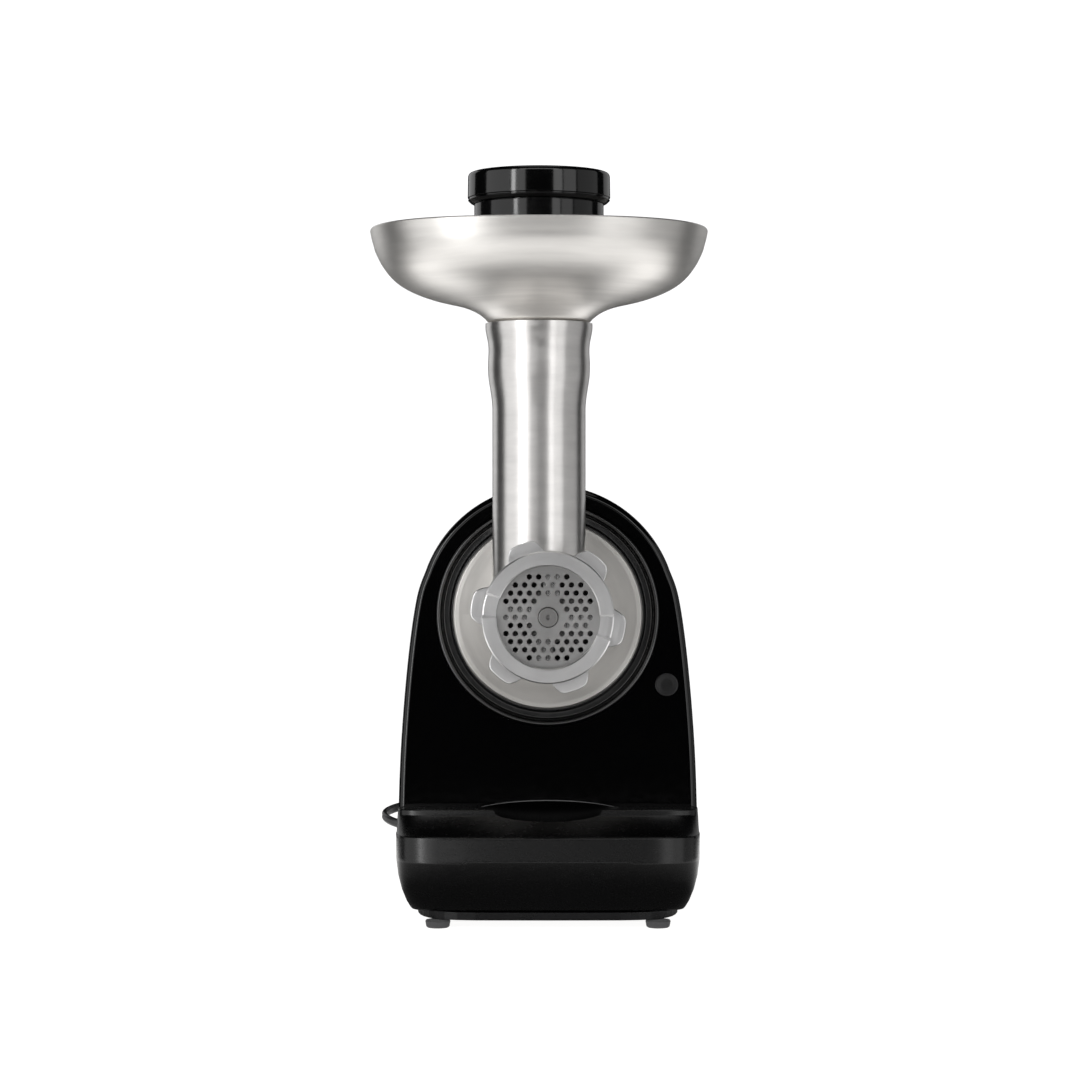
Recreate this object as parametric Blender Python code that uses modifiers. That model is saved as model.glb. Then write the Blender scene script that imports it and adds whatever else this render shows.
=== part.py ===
"""Electric meat grinder: every piece of it, in metres, with +Z up.

The origin is the middle of the footprint, on the surface that the grinder stands on.
+X is to the user's right, and the grinding head points forward, along -Y.
Depths inside the body are given as "back", the distance behind the front panel, and
what stands in front of the panel is given as "ahead", the distance forward of it.
"""

import math

import bmesh
import bpy
from mathutils import Vector

GAP = 0.0003

# Overall places. The feed tube's axis is at x = 0, and the body and head stand a little to its right.
BODY_X = 0.0044
BODY_DEPTH = 0.190
HEAD_Z = 0.1528
FEED_AHEAD = 0.0255
TRAY_HALF_WIDTH = 0.0826
TRAY_HALF_DEPTH = 0.0820
PANEL_Y = (FEED_AHEAD + TRAY_HALF_DEPTH - BODY_DEPTH) / 2
FEED_Y = PANEL_Y - FEED_AHEAD
REAR_Y = PANEL_Y + BODY_DEPTH

# Body shell
ARCH_RADIUS = 0.0650
ARCH_ANGLE = math.radians(68)
FLANK = ((0.0657, 0.161), (0.0702, 0.129), (0.0737, 0.085), (0.0752, 0.038))
CORNER_WIDTH = 0.0173
CORNER_HEIGHT = 0.036
FLOOR_Z = 0.0083
WALL = 0.0025
PANEL_THICK = 0.004
CASING_BACK = 0.1553
DECK_Z = 0.050
DECK_THICK = 0.002

# Base, drawer and feet
BASE_BOTTOM = 0.0042
BASE_HALF_WIDTH = 0.0658
FOOT_RADIUS = 0.0062
FOOT_X = 0.054
FOOT_AHEAD = 0.029
FOOT_BACK = 0.155
LEDGE_Z = 0.056
LEDGE_AHEAD = 0.021
DRAWER_HALF_WIDTH = 0.0640
DRAWER_BACK = 0.142
DRAWER_TOP = 0.0475
DRAWER_FLOOR = 0.0113
DRAWER_WALL = 0.0018
HOLLOW_HALF_WIDTH = 0.0560
HOLLOW_HEIGHT = 0.0300

# Grinding head
SOCKET_RADIUS = 0.0560
DISC_RADIUS = 0.0475
BARREL_RADIUS = 0.0300
THREAD_RADIUS = 0.0290
BARREL_BORE = 0.0263
BARREL_AHEAD = 0.0585
NUT_BACK = 0.0495
NUT_FRONT = 0.0615
TUBE_RADIUS = 0.0229
TUBE_BORE = 0.0215
COLLAR_BORE = 0.0236
LIP_RADIUS = 0.0263
LIP_Z = 0.2963
PLATE_RADIUS = 0.0260
PLATE_THICK = 0.005
PLATE_PITCH = 0.0045
PLATE_HOLE = 0.00135
PIN_RADIUS = 0.0046
NUT_RADIUS = 0.0319
LUG_RADIUS = 0.0376
LUG_COUNT = 6
LUG_ANGLE = math.radians(-10)
NUT_BORE = 0.0293
NUT_LIP = 0.0248
AUGER_RADIUS = 0.0256
AUGER_PITCH = 0.021

# Tray and pusher
TRAY_RIM_Z = 0.3413
TRAY_SHEET = 0.0012
STEM_RADIUS = 0.0209
STEM_BOTTOM = 0.200
HANDLE_RADIUS = 0.0318
HANDLE_BOTTOM = 0.3046
HANDLE_TOP = 0.3547
CAP_RADIUS = 0.03505
CAP_TOP = 0.3703

# Release button, at this place relative to the head's axis
BUTTON_X = 0.0594
BUTTON_Z = -0.0351
BUTTON_RADIUS = 0.0060
LATCH_RADIUS = 0.0435
LATCH_BORE = 0.0024
HEAD_TWIST = math.radians(45)

# Motor and gears. Each gear has a module, and every pair is a 10-tooth pinion driving a 40-tooth gear.
MOTOR_Z = 0.096
PINION_TEETH = 10
GEAR_TEETH = 40
FIRST_MODULE = 0.0012
SECOND_MODULE = 0.0015
OUTPUT_MODULE = 0.0018
FIRST_GEAR_ANGLE = math.radians(146)
CASE_HALF = 0.0545
CASE_BOTTOM = 0.071
SHAFT_RADIUS = 0.004
BEARING_RADIUS = 0.0095

# Mains cord
CORD_RADIUS = 0.0025
RELIEF_LENGTH = 0.028
CORD_EXIT = (-0.036, 0.041)
COIL_CENTRE = (0.010, REAR_Y + 0.047)
COIL_RADIUS = 0.030
COIL_BOTTOM = 0.0011
COIL_TOP = 0.0285
CORD_ROUTE = (
    (-0.0360, REAR_Y + 0.0285, 0.0410),
    (-0.0360, REAR_Y + 0.0370, 0.0409),
    (-0.0385, REAR_Y + 0.0490, 0.0405),
    (-0.0470, REAR_Y + 0.0590, 0.0398),
    (-0.0600, REAR_Y + 0.0635, 0.0385),
    (-0.0735, REAR_Y + 0.0605, 0.0365),
    (-0.0845, REAR_Y + 0.0520, 0.0343),
    (-0.0890, REAR_Y + 0.0400, 0.0320),
    (-0.0845, REAR_Y + 0.0280, 0.0295),
    (-0.0735, REAR_Y + 0.0200, 0.0272),
    (-0.0600, REAR_Y + 0.0172, 0.0262),
    (-0.0400, REAR_Y + 0.0170, 0.0258),
    (-0.0200, REAR_Y + 0.0170, 0.0250),
    (-0.0092, REAR_Y + 0.0170, 0.0247),
)
TAIL_Y = COIL_CENTRE[1] + COIL_RADIUS
PLUG_START_X = -0.0092
PLUG_RELIEF = 0.024
PLUG_BODY = 0.021
PLUG_PIN = 0.019
PLUG_Z = 0.0072

BLACK_GLOSS = ((0.012, 0.012, 0.013), 0.18, 0.0)
BLACK_SATIN = ((0.020, 0.020, 0.021), 0.42, 0.0)
BLACK_RUBBER = ((0.030, 0.030, 0.030), 0.75, 0.0)
STEEL_SATIN = ((0.62, 0.61, 0.60), 0.30, 1.0)
STEEL_BRIGHT = ((0.70, 0.70, 0.70), 0.16, 1.0)
ALUMINIUM = ((0.66, 0.65, 0.64), 0.38, 1.0)
BRASS = ((0.70, 0.52, 0.25), 0.32, 1.0)
COPPER = ((0.62, 0.26, 0.13), 0.35, 1.0)
CORE_STEEL = ((0.20, 0.20, 0.21), 0.5, 1.0)
NYLON = ((0.78, 0.76, 0.70), 0.5, 0.0)
CARBON = ((0.06, 0.06, 0.065), 0.55, 0.2)

# Turned shapes about the head's axis are drawn along Z and laid down so that their top points forward.
FORWARD = (math.pi / 2, 0, 0)

MODEL = bpy.data.collections.new("electric_meat_grinder")
CUTTERS = bpy.data.collections.new("cutters")


# ---------------------------------------------------------------- helpers

def clear_scene():
    """Remove whatever the scene holds, and add the two collections."""
    for obj in list(bpy.data.objects):
        bpy.data.objects.remove(obj, do_unlink=True)
    for collection in (MODEL, CUTTERS):
        bpy.context.scene.collection.children.link(collection)


def finish(obj, look, name=None):
    """Give a piece its own material, put it in the model and name it."""
    colour, roughness, metallic = look
    if name:
        obj.name = name
        obj.data.name = name
    surface = bpy.data.materials.new(obj.name)
    surface.use_nodes = True
    shader = surface.node_tree.nodes["Principled BSDF"]
    shader.inputs["Base Color"].default_value = (*colour, 1)
    shader.inputs["Roughness"].default_value = roughness
    shader.inputs["Metallic"].default_value = metallic
    obj.data.materials.clear()
    obj.data.materials.append(surface)
    if obj.name not in MODEL.objects:
        MODEL.objects.link(obj)
    return obj


def new_object(name, bm, location=(0, 0, 0), rotation=(0, 0, 0)):
    """An object from a bmesh, in no collection yet."""
    mesh = bpy.data.meshes.new(name)
    bm.to_mesh(mesh)
    bm.free()
    obj = bpy.data.objects.new(name, mesh)
    obj.location = location
    obj.rotation_euler = rotation
    return obj


def smooth(obj, angle=35):
    """Shade a round piece smooth, with its edges kept sharp."""
    obj.data.shade_smooth()
    obj.data.set_sharp_from_angle(angle=math.radians(angle))
    return obj


def box(name, size, centre, rotation=(0, 0, 0)):
    """A box of the given size about its centre."""
    bm = bmesh.new()
    bmesh.ops.create_cube(bm, size=1)
    bmesh.ops.scale(bm, vec=Vector(size), verts=bm.verts)
    return new_object(name, bm, centre, rotation)


def cylinder(name, radius, height, centre, rotation=(0, 0, 0), sides=24):
    """A cylinder about its centre, along Z before it is turned."""
    bm = bmesh.new()
    bmesh.ops.create_cone(
        bm, cap_ends=True, segments=sides, radius1=radius, radius2=radius, depth=height
    )
    return smooth(new_object(name, bm, centre, rotation))


def turned(name, profile, location=(0, 0, 0), rotation=(0, 0, 0), steps=32, ring=False):
    """A profile of (radius, height) points turned about Z. A ring's profile is a closed loop."""
    bm = bmesh.new()
    points = [bm.verts.new((radius, 0, height)) for radius, height in profile]
    for start, end in zip(points, points[1:]):
        bm.edges.new((start, end))
    if ring:
        bm.edges.new((points[-1], points[0]))
    obj = new_object(name, bm, location, rotation)
    screw = obj.modifiers.new("Turn", "SCREW")
    screw.axis = "Z"
    screw.steps = steps
    screw.render_steps = steps
    screw.use_merge_vertices = True
    screw.merge_threshold = 0.00001
    screw.use_smooth_shade = True
    return obj


def loft(name, rings, closed=False):
    """Skin equal loops of points. The ends are capped, or the last loop meets the first."""
    bm = bmesh.new()
    loops = [[bm.verts.new(point) for point in ring] for ring in rings]
    pairs = list(zip(loops, loops[1:]))
    if closed:
        pairs.append((loops[-1], loops[0]))
    for lower, upper in pairs:
        count = len(lower)
        for i in range(count):
            j = (i + 1) % count
            bm.faces.new((lower[i], lower[j], upper[j], upper[i]))
    if not closed:
        bm.faces.new(list(reversed(loops[0])))
        bm.faces.new(loops[-1])
    bmesh.ops.recalc_face_normals(bm, faces=bm.faces)
    return smooth(new_object(name, bm))


def as_mesh(obj):
    """A curve made into a welded mesh object, in the curve's place."""
    if obj.name not in bpy.context.scene.collection.all_objects:
        MODEL.objects.link(obj)
    bpy.context.view_layer.update()
    graph = bpy.context.evaluated_depsgraph_get()
    mesh = bpy.data.meshes.new_from_object(obj.evaluated_get(graph))
    bm = bmesh.new()
    bm.from_mesh(mesh)
    bmesh.ops.remove_doubles(bm, verts=bm.verts, dist=0.000005)
    bm.to_mesh(mesh)
    bm.free()
    name, matrix = obj.name, obj.matrix_world.copy()
    bpy.data.objects.remove(obj, do_unlink=True)
    made = bpy.data.objects.new(name, mesh)
    made.matrix_world = matrix
    return made


def plate(name, outlines, thickness, location=(0, 0, 0), rotation=(0, 0, 0)):
    """A flat plate. The first outline is its edge and any others are holes, in its own XY plane."""
    curve = bpy.data.curves.new(name, "CURVE")
    curve.dimensions = "2D"
    curve.fill_mode = "BOTH"
    curve.extrude = thickness / 2
    for outline in outlines:
        spline = curve.splines.new("POLY")
        spline.points.add(len(outline) - 1)
        for point, (x, y) in zip(spline.points, outline):
            point.co = (x, y, 0, 1)
        spline.use_cyclic_u = True
    obj = bpy.data.objects.new(name, curve)
    obj.location = location
    obj.rotation_euler = rotation
    return as_mesh(obj)


def tube(name, points, radius, resolution=2):
    """A round tube along a list of points, with flat ends."""
    curve = bpy.data.curves.new(name, "CURVE")
    curve.dimensions = "3D"
    curve.bevel_depth = radius
    curve.bevel_resolution = resolution
    curve.use_fill_caps = True
    spline = curve.splines.new("POLY")
    spline.points.add(len(points) - 1)
    for point, place in zip(spline.points, points):
        point.co = (*place, 1)
    return bpy.data.objects.new(name, curve)


def combine(obj, other, operation):
    """Apply one Boolean of obj with other straight away, and remove other."""
    for each in (obj, other):
        if each.name not in bpy.context.scene.collection.all_objects:
            CUTTERS.objects.link(each)
    modifier = obj.modifiers.new(operation, "BOOLEAN")
    modifier.operation = operation
    modifier.solver = "EXACT"
    modifier.object = other
    bpy.context.view_layer.update()
    graph = bpy.context.evaluated_depsgraph_get()
    mesh = bpy.data.meshes.new_from_object(obj.evaluated_get(graph))
    obj.modifiers.clear()
    obj.data = mesh
    bpy.data.objects.remove(other, do_unlink=True)
    if obj.name in CUTTERS.objects:
        CUTTERS.objects.unlink(obj)
    return obj


def cut(obj, *others):
    """Cut each of the others out of a piece."""
    for other in others:
        combine(obj, other, "DIFFERENCE")
    return obj


def join(obj, *others):
    """Join pieces that overlap into one solid."""
    for other in others:
        combine(obj, other, "UNION")
    return obj


def circle(radius, sides, centre=(0, 0), start=0.0):
    """Points round a circle."""
    return [
        (centre[0] + radius * math.cos(start + math.tau * i / sides),
         centre[1] + radius * math.sin(start + math.tau * i / sides))
        for i in range(sides)
    ]


def arc(radius, start, end, steps, centre=(0, 0)):
    """Points along part of a circle."""
    turns = [start + (end - start) * i / steps for i in range(steps + 1)]
    return [(centre[0] + radius * math.cos(turn), centre[1] + radius * math.sin(turn)) for turn in turns]


def through(points, steps):
    """Points along a smooth curve that passes through each of the given points."""
    ends = [[2 * a - b for a, b in zip(points[0], points[1])]]
    tail = [[2 * a - b for a, b in zip(points[-1], points[-2])]]
    knots = ends + [list(point) for point in points] + tail
    path = []
    for p0, p1, p2, p3 in zip(knots, knots[1:], knots[2:], knots[3:]):
        for step in range(steps):
            t = step / steps
            path.append(tuple(
                0.5 * (2 * b + (c - a) * t + (2 * a - 5 * b + 4 * c - d) * t * t
                       + (3 * b - a - 3 * c + d) * t ** 3)
                for a, b, c, d in zip(p0, p1, p2, p3)
            ))
    path.append(tuple(points[-1]))
    return path


def inset(outline, distance):
    """The same closed outline, moved in by a distance. The outline runs anticlockwise."""
    moved = []
    for i, point in enumerate(outline):
        before = Vector(outline[i - 1])
        after = Vector(outline[(i + 1) % len(outline)])
        here = Vector(point)
        first = (here - before).normalized()
        second = (after - here).normalized()
        normal = Vector((-(first + second).y, (first + second).x)).normalized()
        share = max(0.5, normal.dot(Vector((-second.y, second.x))))
        moved.append(tuple(here + normal * (distance / share)))
    return moved


# ---------------------------------------------------------------- the body's outline

def half_width(z):
    """Half the body's width at a height, in its rounded lower part."""
    drop = max(0.0, FLANK[-1][1] - z) / CORNER_HEIGHT
    return FLANK[-1][0] - CORNER_WIDTH * (1 - math.sqrt(max(0.0, 1 - drop * drop)))


def arch_outline():
    """The body seen from the front, anticlockwise from the middle of its floor, as (x, z)."""
    corner = []
    for i in range(6):
        z = FLOOR_Z + (FLANK[-1][1] - FLOOR_Z) * i / 6
        corner.append((half_width(z), z))
    crown = []
    for i in range(9):
        angle = ARCH_ANGLE * (1 - i / 8)
        crown.append((ARCH_RADIUS * math.sin(angle), HEAD_Z + ARCH_RADIUS * math.cos(angle)))
    flank = through((*reversed(FLANK), crown[0]), 2)[:-1]
    right = corner + flank + crown
    left = [(-x, z) for x, z in reversed(right[:-1])]
    return [(BODY_X + x, z) for x, z in right + left]


def outline_at(outline, back):
    """An outline in the plane at a distance behind the front panel."""
    return [(x, PANEL_Y + back, z) for x, z in outline]


# ---------------------------------------------------------------- the body

def front_panel():
    """The arched front panel, with the head's hole, the drawer's opening and the button's hole."""
    outline = arch_outline()
    rings = [
        outline_at(inset(outline, 0.0035), 0.0),
        outline_at(inset(outline, 0.0012), 0.0008),
        outline_at(outline, 0.0035),
        outline_at(outline, PANEL_THICK),
    ]
    panel = loft("front_panel", rings)
    centre_y = PANEL_Y + PANEL_THICK / 2
    cut(
        panel,
        cylinder("c", SOCKET_RADIUS + GAP, 0.02, (BODY_X, centre_y, HEAD_Z), FORWARD, 36),
        cylinder("c", BUTTON_RADIUS + GAP, 0.02,
                 (BODY_X + BUTTON_X, centre_y, HEAD_Z + BUTTON_Z), FORWARD, 24),
        box("c", (2 * DRAWER_HALF_WIDTH + 0.002, 0.03, DRAWER_TOP - DRAWER_FLOOR + 0.0012),
            (BODY_X, centre_y, (DRAWER_TOP + DRAWER_FLOOR) / 2)),
        scoop(),
    )
    finish(panel, BLACK_GLOSS)


def scoop():
    """The finger scoop, half in the drawer's ledge and half in the foot of the panel."""
    bm = bmesh.new()
    bmesh.ops.create_uvsphere(bm, u_segments=24, v_segments=12, radius=1)
    bmesh.ops.scale(bm, vec=(0.044, 0.0065, 0.0072), verts=bm.verts)
    return new_object("scoop", bm, (BODY_X, PANEL_Y - 0.004, 0.0545))


def casing():
    """The middle of the body: an arched tube with the drawer's bay under the motor's bay."""
    outer = arch_outline()
    inner = inset(outer, WALL)
    rings = [
        outline_at(outer, PANEL_THICK + GAP),
        outline_at(outer, CASING_BACK),
        outline_at(inner, CASING_BACK),
        outline_at(inner, PANEL_THICK + GAP),
    ]
    shell = loft("casing", rings, closed=True)
    cut(shell, box("c", (0.02, 0.0286, 0.0206), (BODY_X + 0.0735, PANEL_Y + 0.092, 0.086)))
    finish(shell, BLACK_SATIN)


def rear_cover():
    """The hollow rounded rear cover, with slots that let the motor's air out."""
    outline = arch_outline()
    bulge = BODY_DEPTH - CASING_BACK - GAP
    rings = []
    for side, wall in ((1, 0.0), (-1, WALL)):
        turn = []
        for i in range(4):
            angle = math.pi / 2 * i / 3
            depth = (bulge - wall) * math.sin(angle)
            shrink = wall + 0.020 * (1 - math.cos(angle)) * (1 - wall / bulge)
            turn.append(outline_at(inset(outline, shrink), CASING_BACK + GAP + depth))
        rings.extend(turn[::side])
    cover = closed_cup("rear_cover", rings, 4)
    slots = [
        box("c", (0.060 - 0.008 * abs(row - 2), 0.03, 0.0034),
            (BODY_X, REAR_Y, 0.126 + 0.011 * row))
        for row in range(5)
    ]
    hole = cylinder("c", 0.0062, 0.03, (CORD_EXIT[0], REAR_Y, CORD_EXIT[1]), FORWARD, 20)
    cut(cover, *slots, hole)
    finish(cover, BLACK_SATIN)


def closed_cup(name, rings, outer_count):
    """A cup skinned from its outer loops and then its inner ones, open at its mouth."""
    bm = bmesh.new()
    loops = [[bm.verts.new(point) for point in ring] for ring in rings]
    outer, inner = loops[:outer_count], loops[outer_count:]
    pairs = list(zip(outer, outer[1:])) + list(zip(inner, inner[1:])) + [(inner[-1], outer[0])]
    for lower, upper in pairs:
        count = len(lower)
        for i in range(count):
            j = (i + 1) % count
            bm.faces.new((lower[i], lower[j], upper[j], upper[i]))
    bm.faces.new(outer[-1])
    bm.faces.new(list(reversed(inner[0])))
    bmesh.ops.recalc_face_normals(bm, faces=bm.faces)
    return smooth(new_object(name, bm))


def inner_deck():
    """The shelf over the drawer's bay, which carries the motor and the gearbox."""
    half = FLANK[-1][0] - WALL - 0.0006
    depth = CASING_BACK - PANEL_THICK - 0.004
    centre = (BODY_X, PANEL_Y + PANEL_THICK + 0.002 + depth / 2, DECK_Z + DECK_THICK / 2)
    deck = box("inner_deck", (2 * half, depth, DECK_THICK), centre)
    finish(deck, BLACK_SATIN)


def plan_outline(half, front, back, power=6.0, count=40):
    """A rounded rectangle seen from above, as (x, y), in front of and behind the panel."""
    middle = PANEL_Y + (back - front) / 2
    reach = (back + front) / 2
    points = []
    for i in range(count):
        angle = math.tau * i / count
        c, s = math.cos(angle), math.sin(angle)
        points.append((
            BODY_X + half * math.copysign(abs(c) ** (2 / power), c),
            middle + reach * math.copysign(abs(s) ** (2 / power), s),
        ))
    return points


def base_plate():
    """The flat base under the body and the drawer, with its screw holes and air slots."""
    thick = FLOOR_Z - GAP - BASE_BOTTOM
    outline = plan_outline(BASE_HALF_WIDTH, 0.036, 0.176)
    holes = [circle(0.0022, 10, (x, y)) for x, y in screw_places()]
    base = plate("base_plate", [outline, *holes], thick, (0, 0, BASE_BOTTOM + thick / 2))
    finish(base, BLACK_SATIN)


def screw_places():
    """Where the four base screws go up into the casing's floor."""
    return [(BODY_X + x, PANEL_Y + back) for back in (0.024, 0.138) for x in (-0.046, 0.046)]


def feet():
    """Four soft feet under the base plate."""
    profile = [(0, BASE_BOTTOM - GAP), (FOOT_RADIUS - 0.0006, BASE_BOTTOM - GAP),
               (FOOT_RADIUS, BASE_BOTTOM - 0.001), (FOOT_RADIUS - 0.0006, 0.0008),
               (FOOT_RADIUS - 0.0014, 0), (0, 0)]
    for end, back in (("front", -FOOT_AHEAD), ("rear", FOOT_BACK)):
        for side, sign in (("left", -1), ("right", 1)):
            place = (BODY_X + sign * FOOT_X, PANEL_Y + back, 0)
            foot = turned(f"foot_{end}_{side}", profile, place, steps=14)
            finish(foot, BLACK_RUBBER)


def base_screws():
    """Four screws that hold the base plate, with their heads under it."""
    head, neck = 0.0032, 0.0018
    top, bottom = FLOOR_Z - 0.0006, BASE_BOTTOM - 0.0022
    profile = [(0, top), (neck, top), (neck, BASE_BOTTOM - GAP), (head, BASE_BOTTOM - GAP),
               (head, bottom + 0.0006), (head - 0.0008, bottom), (0, bottom)]
    for number, (x, y) in enumerate(screw_places(), 1):
        finish(turned(f"base_screw_{number}", profile, (x, y, 0), steps=8), STEEL_BRIGHT)


# ---------------------------------------------------------------- the drawer

def drawer_front():
    """The rounded front of the accessory drawer, hollow behind, with the scoop in its ledge."""
    lower = ((0.0340, 0.0083), (0.0392, 0.0140), (0.0426, 0.0250), (0.0438, 0.0380))
    upper = ((0.0418, 0.0432), (0.0360, 0.0474), (0.0280, 0.0514), (LEDGE_AHEAD, 0.0545))
    rings = []
    for ahead, z in (*lower, *upper, (LEDGE_AHEAD - 0.001, LEDGE_Z)):
        half = half_width(z)
        ring = [(BODY_X + half, PANEL_Y - GAP, z)]
        for i in range(1, 24):
            angle = math.pi * i / 24
            c, s = math.cos(angle), math.sin(angle)
            ring.append((
                BODY_X + half * math.copysign(abs(c) ** 0.36, c),
                PANEL_Y - GAP - (ahead - GAP) * s ** 0.36,
                z,
            ))
        ring.append((BODY_X - half, PANEL_Y - GAP, z))
        rings.append(ring)
    front = loft("drawer_front", rings)
    hollow = box("c", (2 * HOLLOW_HALF_WIDTH, 0.054, HOLLOW_HEIGHT),
                 (BODY_X, PANEL_Y - 0.0070, DRAWER_FLOOR + DRAWER_WALL + HOLLOW_HEIGHT / 2))
    cut(front, hollow, scoop())
    finish(front, BLACK_SATIN)


def drawer_tray():
    """The drawer's box, open on top and towards its front."""
    depth = DRAWER_BACK - GAP
    centre_y = PANEL_Y + GAP + depth / 2
    height = DRAWER_TOP - DRAWER_FLOOR
    tray = box("drawer_tray", (2 * DRAWER_HALF_WIDTH, depth, height),
               (BODY_X, centre_y, DRAWER_FLOOR + height / 2))
    cut(tray, box("c", (2 * (DRAWER_HALF_WIDTH - DRAWER_WALL), depth, height),
                  (BODY_X, centre_y - DRAWER_WALL, DRAWER_FLOOR + height / 2 + DRAWER_WALL)))
    finish(tray, BLACK_SATIN)


# ---------------------------------------------------------------- the head's socket and release

def on_head_axis(ahead=0.0):
    """A place on the head's axis, this far ahead of the panel."""
    return (BODY_X, PANEL_Y - ahead, HEAD_Z)


def head_socket():
    """The round socket in the panel, with a raised rim, a groove and a cup for the head's back."""
    profile = [(0.0545, 0.0015), (0.0556, 0.0009), (SOCKET_RADIUS, -0.0005), (SOCKET_RADIUS, -0.0145),
               (0.0535, -0.0145), (0.0535, -0.0080), (0.0350, -0.0080), (0.0350, -0.0145),
               (0.0142, -0.0145), (0.0142, -0.0122), (0.0318, -0.0122), (0.0318, -0.0030),
               (0.0482, -0.0030), (0.0500, -0.0052), (0.0522, -0.0052), (0.0537, 0.0009)]
    ring = turned("head_socket", profile, on_head_axis(), FORWARD, 36, ring=True)
    x, z = latch_place()
    cut(ring, cylinder("c", LATCH_BORE, 0.02, (x, PANEL_Y + 0.008, z), FORWARD, 12))
    finish(ring, BLACK_GLOSS)


def latch_place():
    """Where the latch pin meets the head's disc, as (x, z)."""
    direction = Vector((BUTTON_X, BUTTON_Z)).normalized()
    return BODY_X + LATCH_RADIUS * direction.x, HEAD_Z + LATCH_RADIUS * direction.y


def release_button():
    """The round button that frees the head, its stem, and the lever and pin that it pulls back."""
    x, z = BODY_X + BUTTON_X, HEAD_Z + BUTTON_Z
    profile = [(0, 0.0006), (BUTTON_RADIUS - 0.0008, 0.0004), (BUTTON_RADIUS, -0.0003),
               (BUTTON_RADIUS, -0.0060), (0.0028, -0.0060), (0.0028, -0.0150), (0, -0.0150)]
    finish(turned("release_button", profile, (x, PANEL_Y, z), FORWARD, 20), BLACK_SATIN)
    pin_x, pin_z = latch_place()
    reach = math.hypot(x - pin_x, z - pin_z)
    angle = math.atan2(z - pin_z, x - pin_x)
    lever = box("latch_lever", (reach + 0.008, 0.0024, 0.0080),
                ((x + pin_x) / 2, PANEL_Y + 0.0166, (z + pin_z) / 2), (0, -angle, 0))
    pin = cylinder("c", 0.0020, 0.0156, (pin_x, PANEL_Y + 0.0088, pin_z), FORWARD, 12)
    join(lever, pin)
    finish(lever, STEEL_BRIGHT)
    spring = tube("button_spring", [
        (x + 0.0042 * math.cos(math.tau * i / 8), PANEL_Y + 0.0072 + 0.0062 * i / 24,
         z + 0.0042 * math.sin(math.tau * i / 8))
        for i in range(25)
    ], 0.0003, 1)
    finish(spring, STEEL_BRIGHT)


# ---------------------------------------------------------------- the grinding head

def grinder_head():
    """The barrel with the feed tube standing on it, in one piece."""
    barrel = turned("grinder_head", [
        (0, BARREL_AHEAD), (THREAD_RADIUS - 0.0006, BARREL_AHEAD), (THREAD_RADIUS, BARREL_AHEAD - 0.0006),
        (THREAD_RADIUS, NUT_BACK - 0.0005), (BARREL_RADIUS, NUT_BACK - 0.0015),
        (BARREL_RADIUS, -0.0115), (0, -0.0115),
    ], on_head_axis(), FORWARD, 32)
    feed = turned("c", [
        (0, LIP_Z), (LIP_RADIUS - 0.0008, LIP_Z), (LIP_RADIUS, LIP_Z - 0.0008),
        (LIP_RADIUS, 0.2930), (0.0253, 0.2885), (0.0248, 0.2835), (0.0250, 0.2725),
        (0.0239, 0.2638), (TUBE_RADIUS, 0.2540), (TUBE_RADIUS, HEAD_Z), (0, HEAD_Z),
    ], (0, FEED_Y, 0), steps=32)
    join(barrel, feed)
    cut(
        barrel,
        turned("c", [
            (0, LIP_Z + 0.01), (COLLAR_BORE, LIP_Z + 0.01), (COLLAR_BORE, 0.2750),
            (TUBE_BORE, 0.2640), (TUBE_BORE, HEAD_Z), (0, HEAD_Z),
        ], (0, FEED_Y, 0), steps=32),
        cylinder("c", BARREL_BORE, BARREL_AHEAD, (BODY_X, PANEL_Y - 0.004 - BARREL_AHEAD / 2, HEAD_Z),
                 FORWARD, 32),
        cylinder("c", 0.0270, 0.020, (BODY_X, PANEL_Y + 0.009, HEAD_Z), FORWARD, 32),
        cylinder("c", 0.0096, 0.020, on_head_axis(), FORWARD, 16),
    )
    finish(smooth(barrel), STEEL_SATIN)


def head_flange():
    """The round steel disc fixed round the back of the barrel."""
    profile = [(0.0303, 0.0010), (DISC_RADIUS - 0.0008, 0.0010), (DISC_RADIUS, 0.0002),
               (DISC_RADIUS, -0.0024), (0.0303, -0.0024)]
    disc = turned("head_flange", profile, on_head_axis(), FORWARD, 36, ring=True)
    slot = plate("c", [latch_slot()], 0.004, (BODY_X, PANEL_Y + 0.0024, HEAD_Z), FORWARD)
    cut(disc, slot)
    finish(disc, STEEL_SATIN)


def latch_slot():
    """The curved slot in the disc's back, in which the latch pin runs as the head turns."""
    start = math.atan2(BUTTON_Z, BUTTON_X)
    end = start + HEAD_TWIST
    first = (LATCH_RADIUS * math.cos(start), LATCH_RADIUS * math.sin(start))
    last = (LATCH_RADIUS * math.cos(end), LATCH_RADIUS * math.sin(end))
    return (
        arc(LATCH_BORE, end, end + math.pi, 6, last)
        + arc(LATCH_RADIUS - LATCH_BORE, end, start, 10)[1:-1]
        + arc(LATCH_BORE, start + math.pi, start + math.tau, 6, first)
        + arc(LATCH_RADIUS + LATCH_BORE, start, end, 10)[1:-1]
    )


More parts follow.
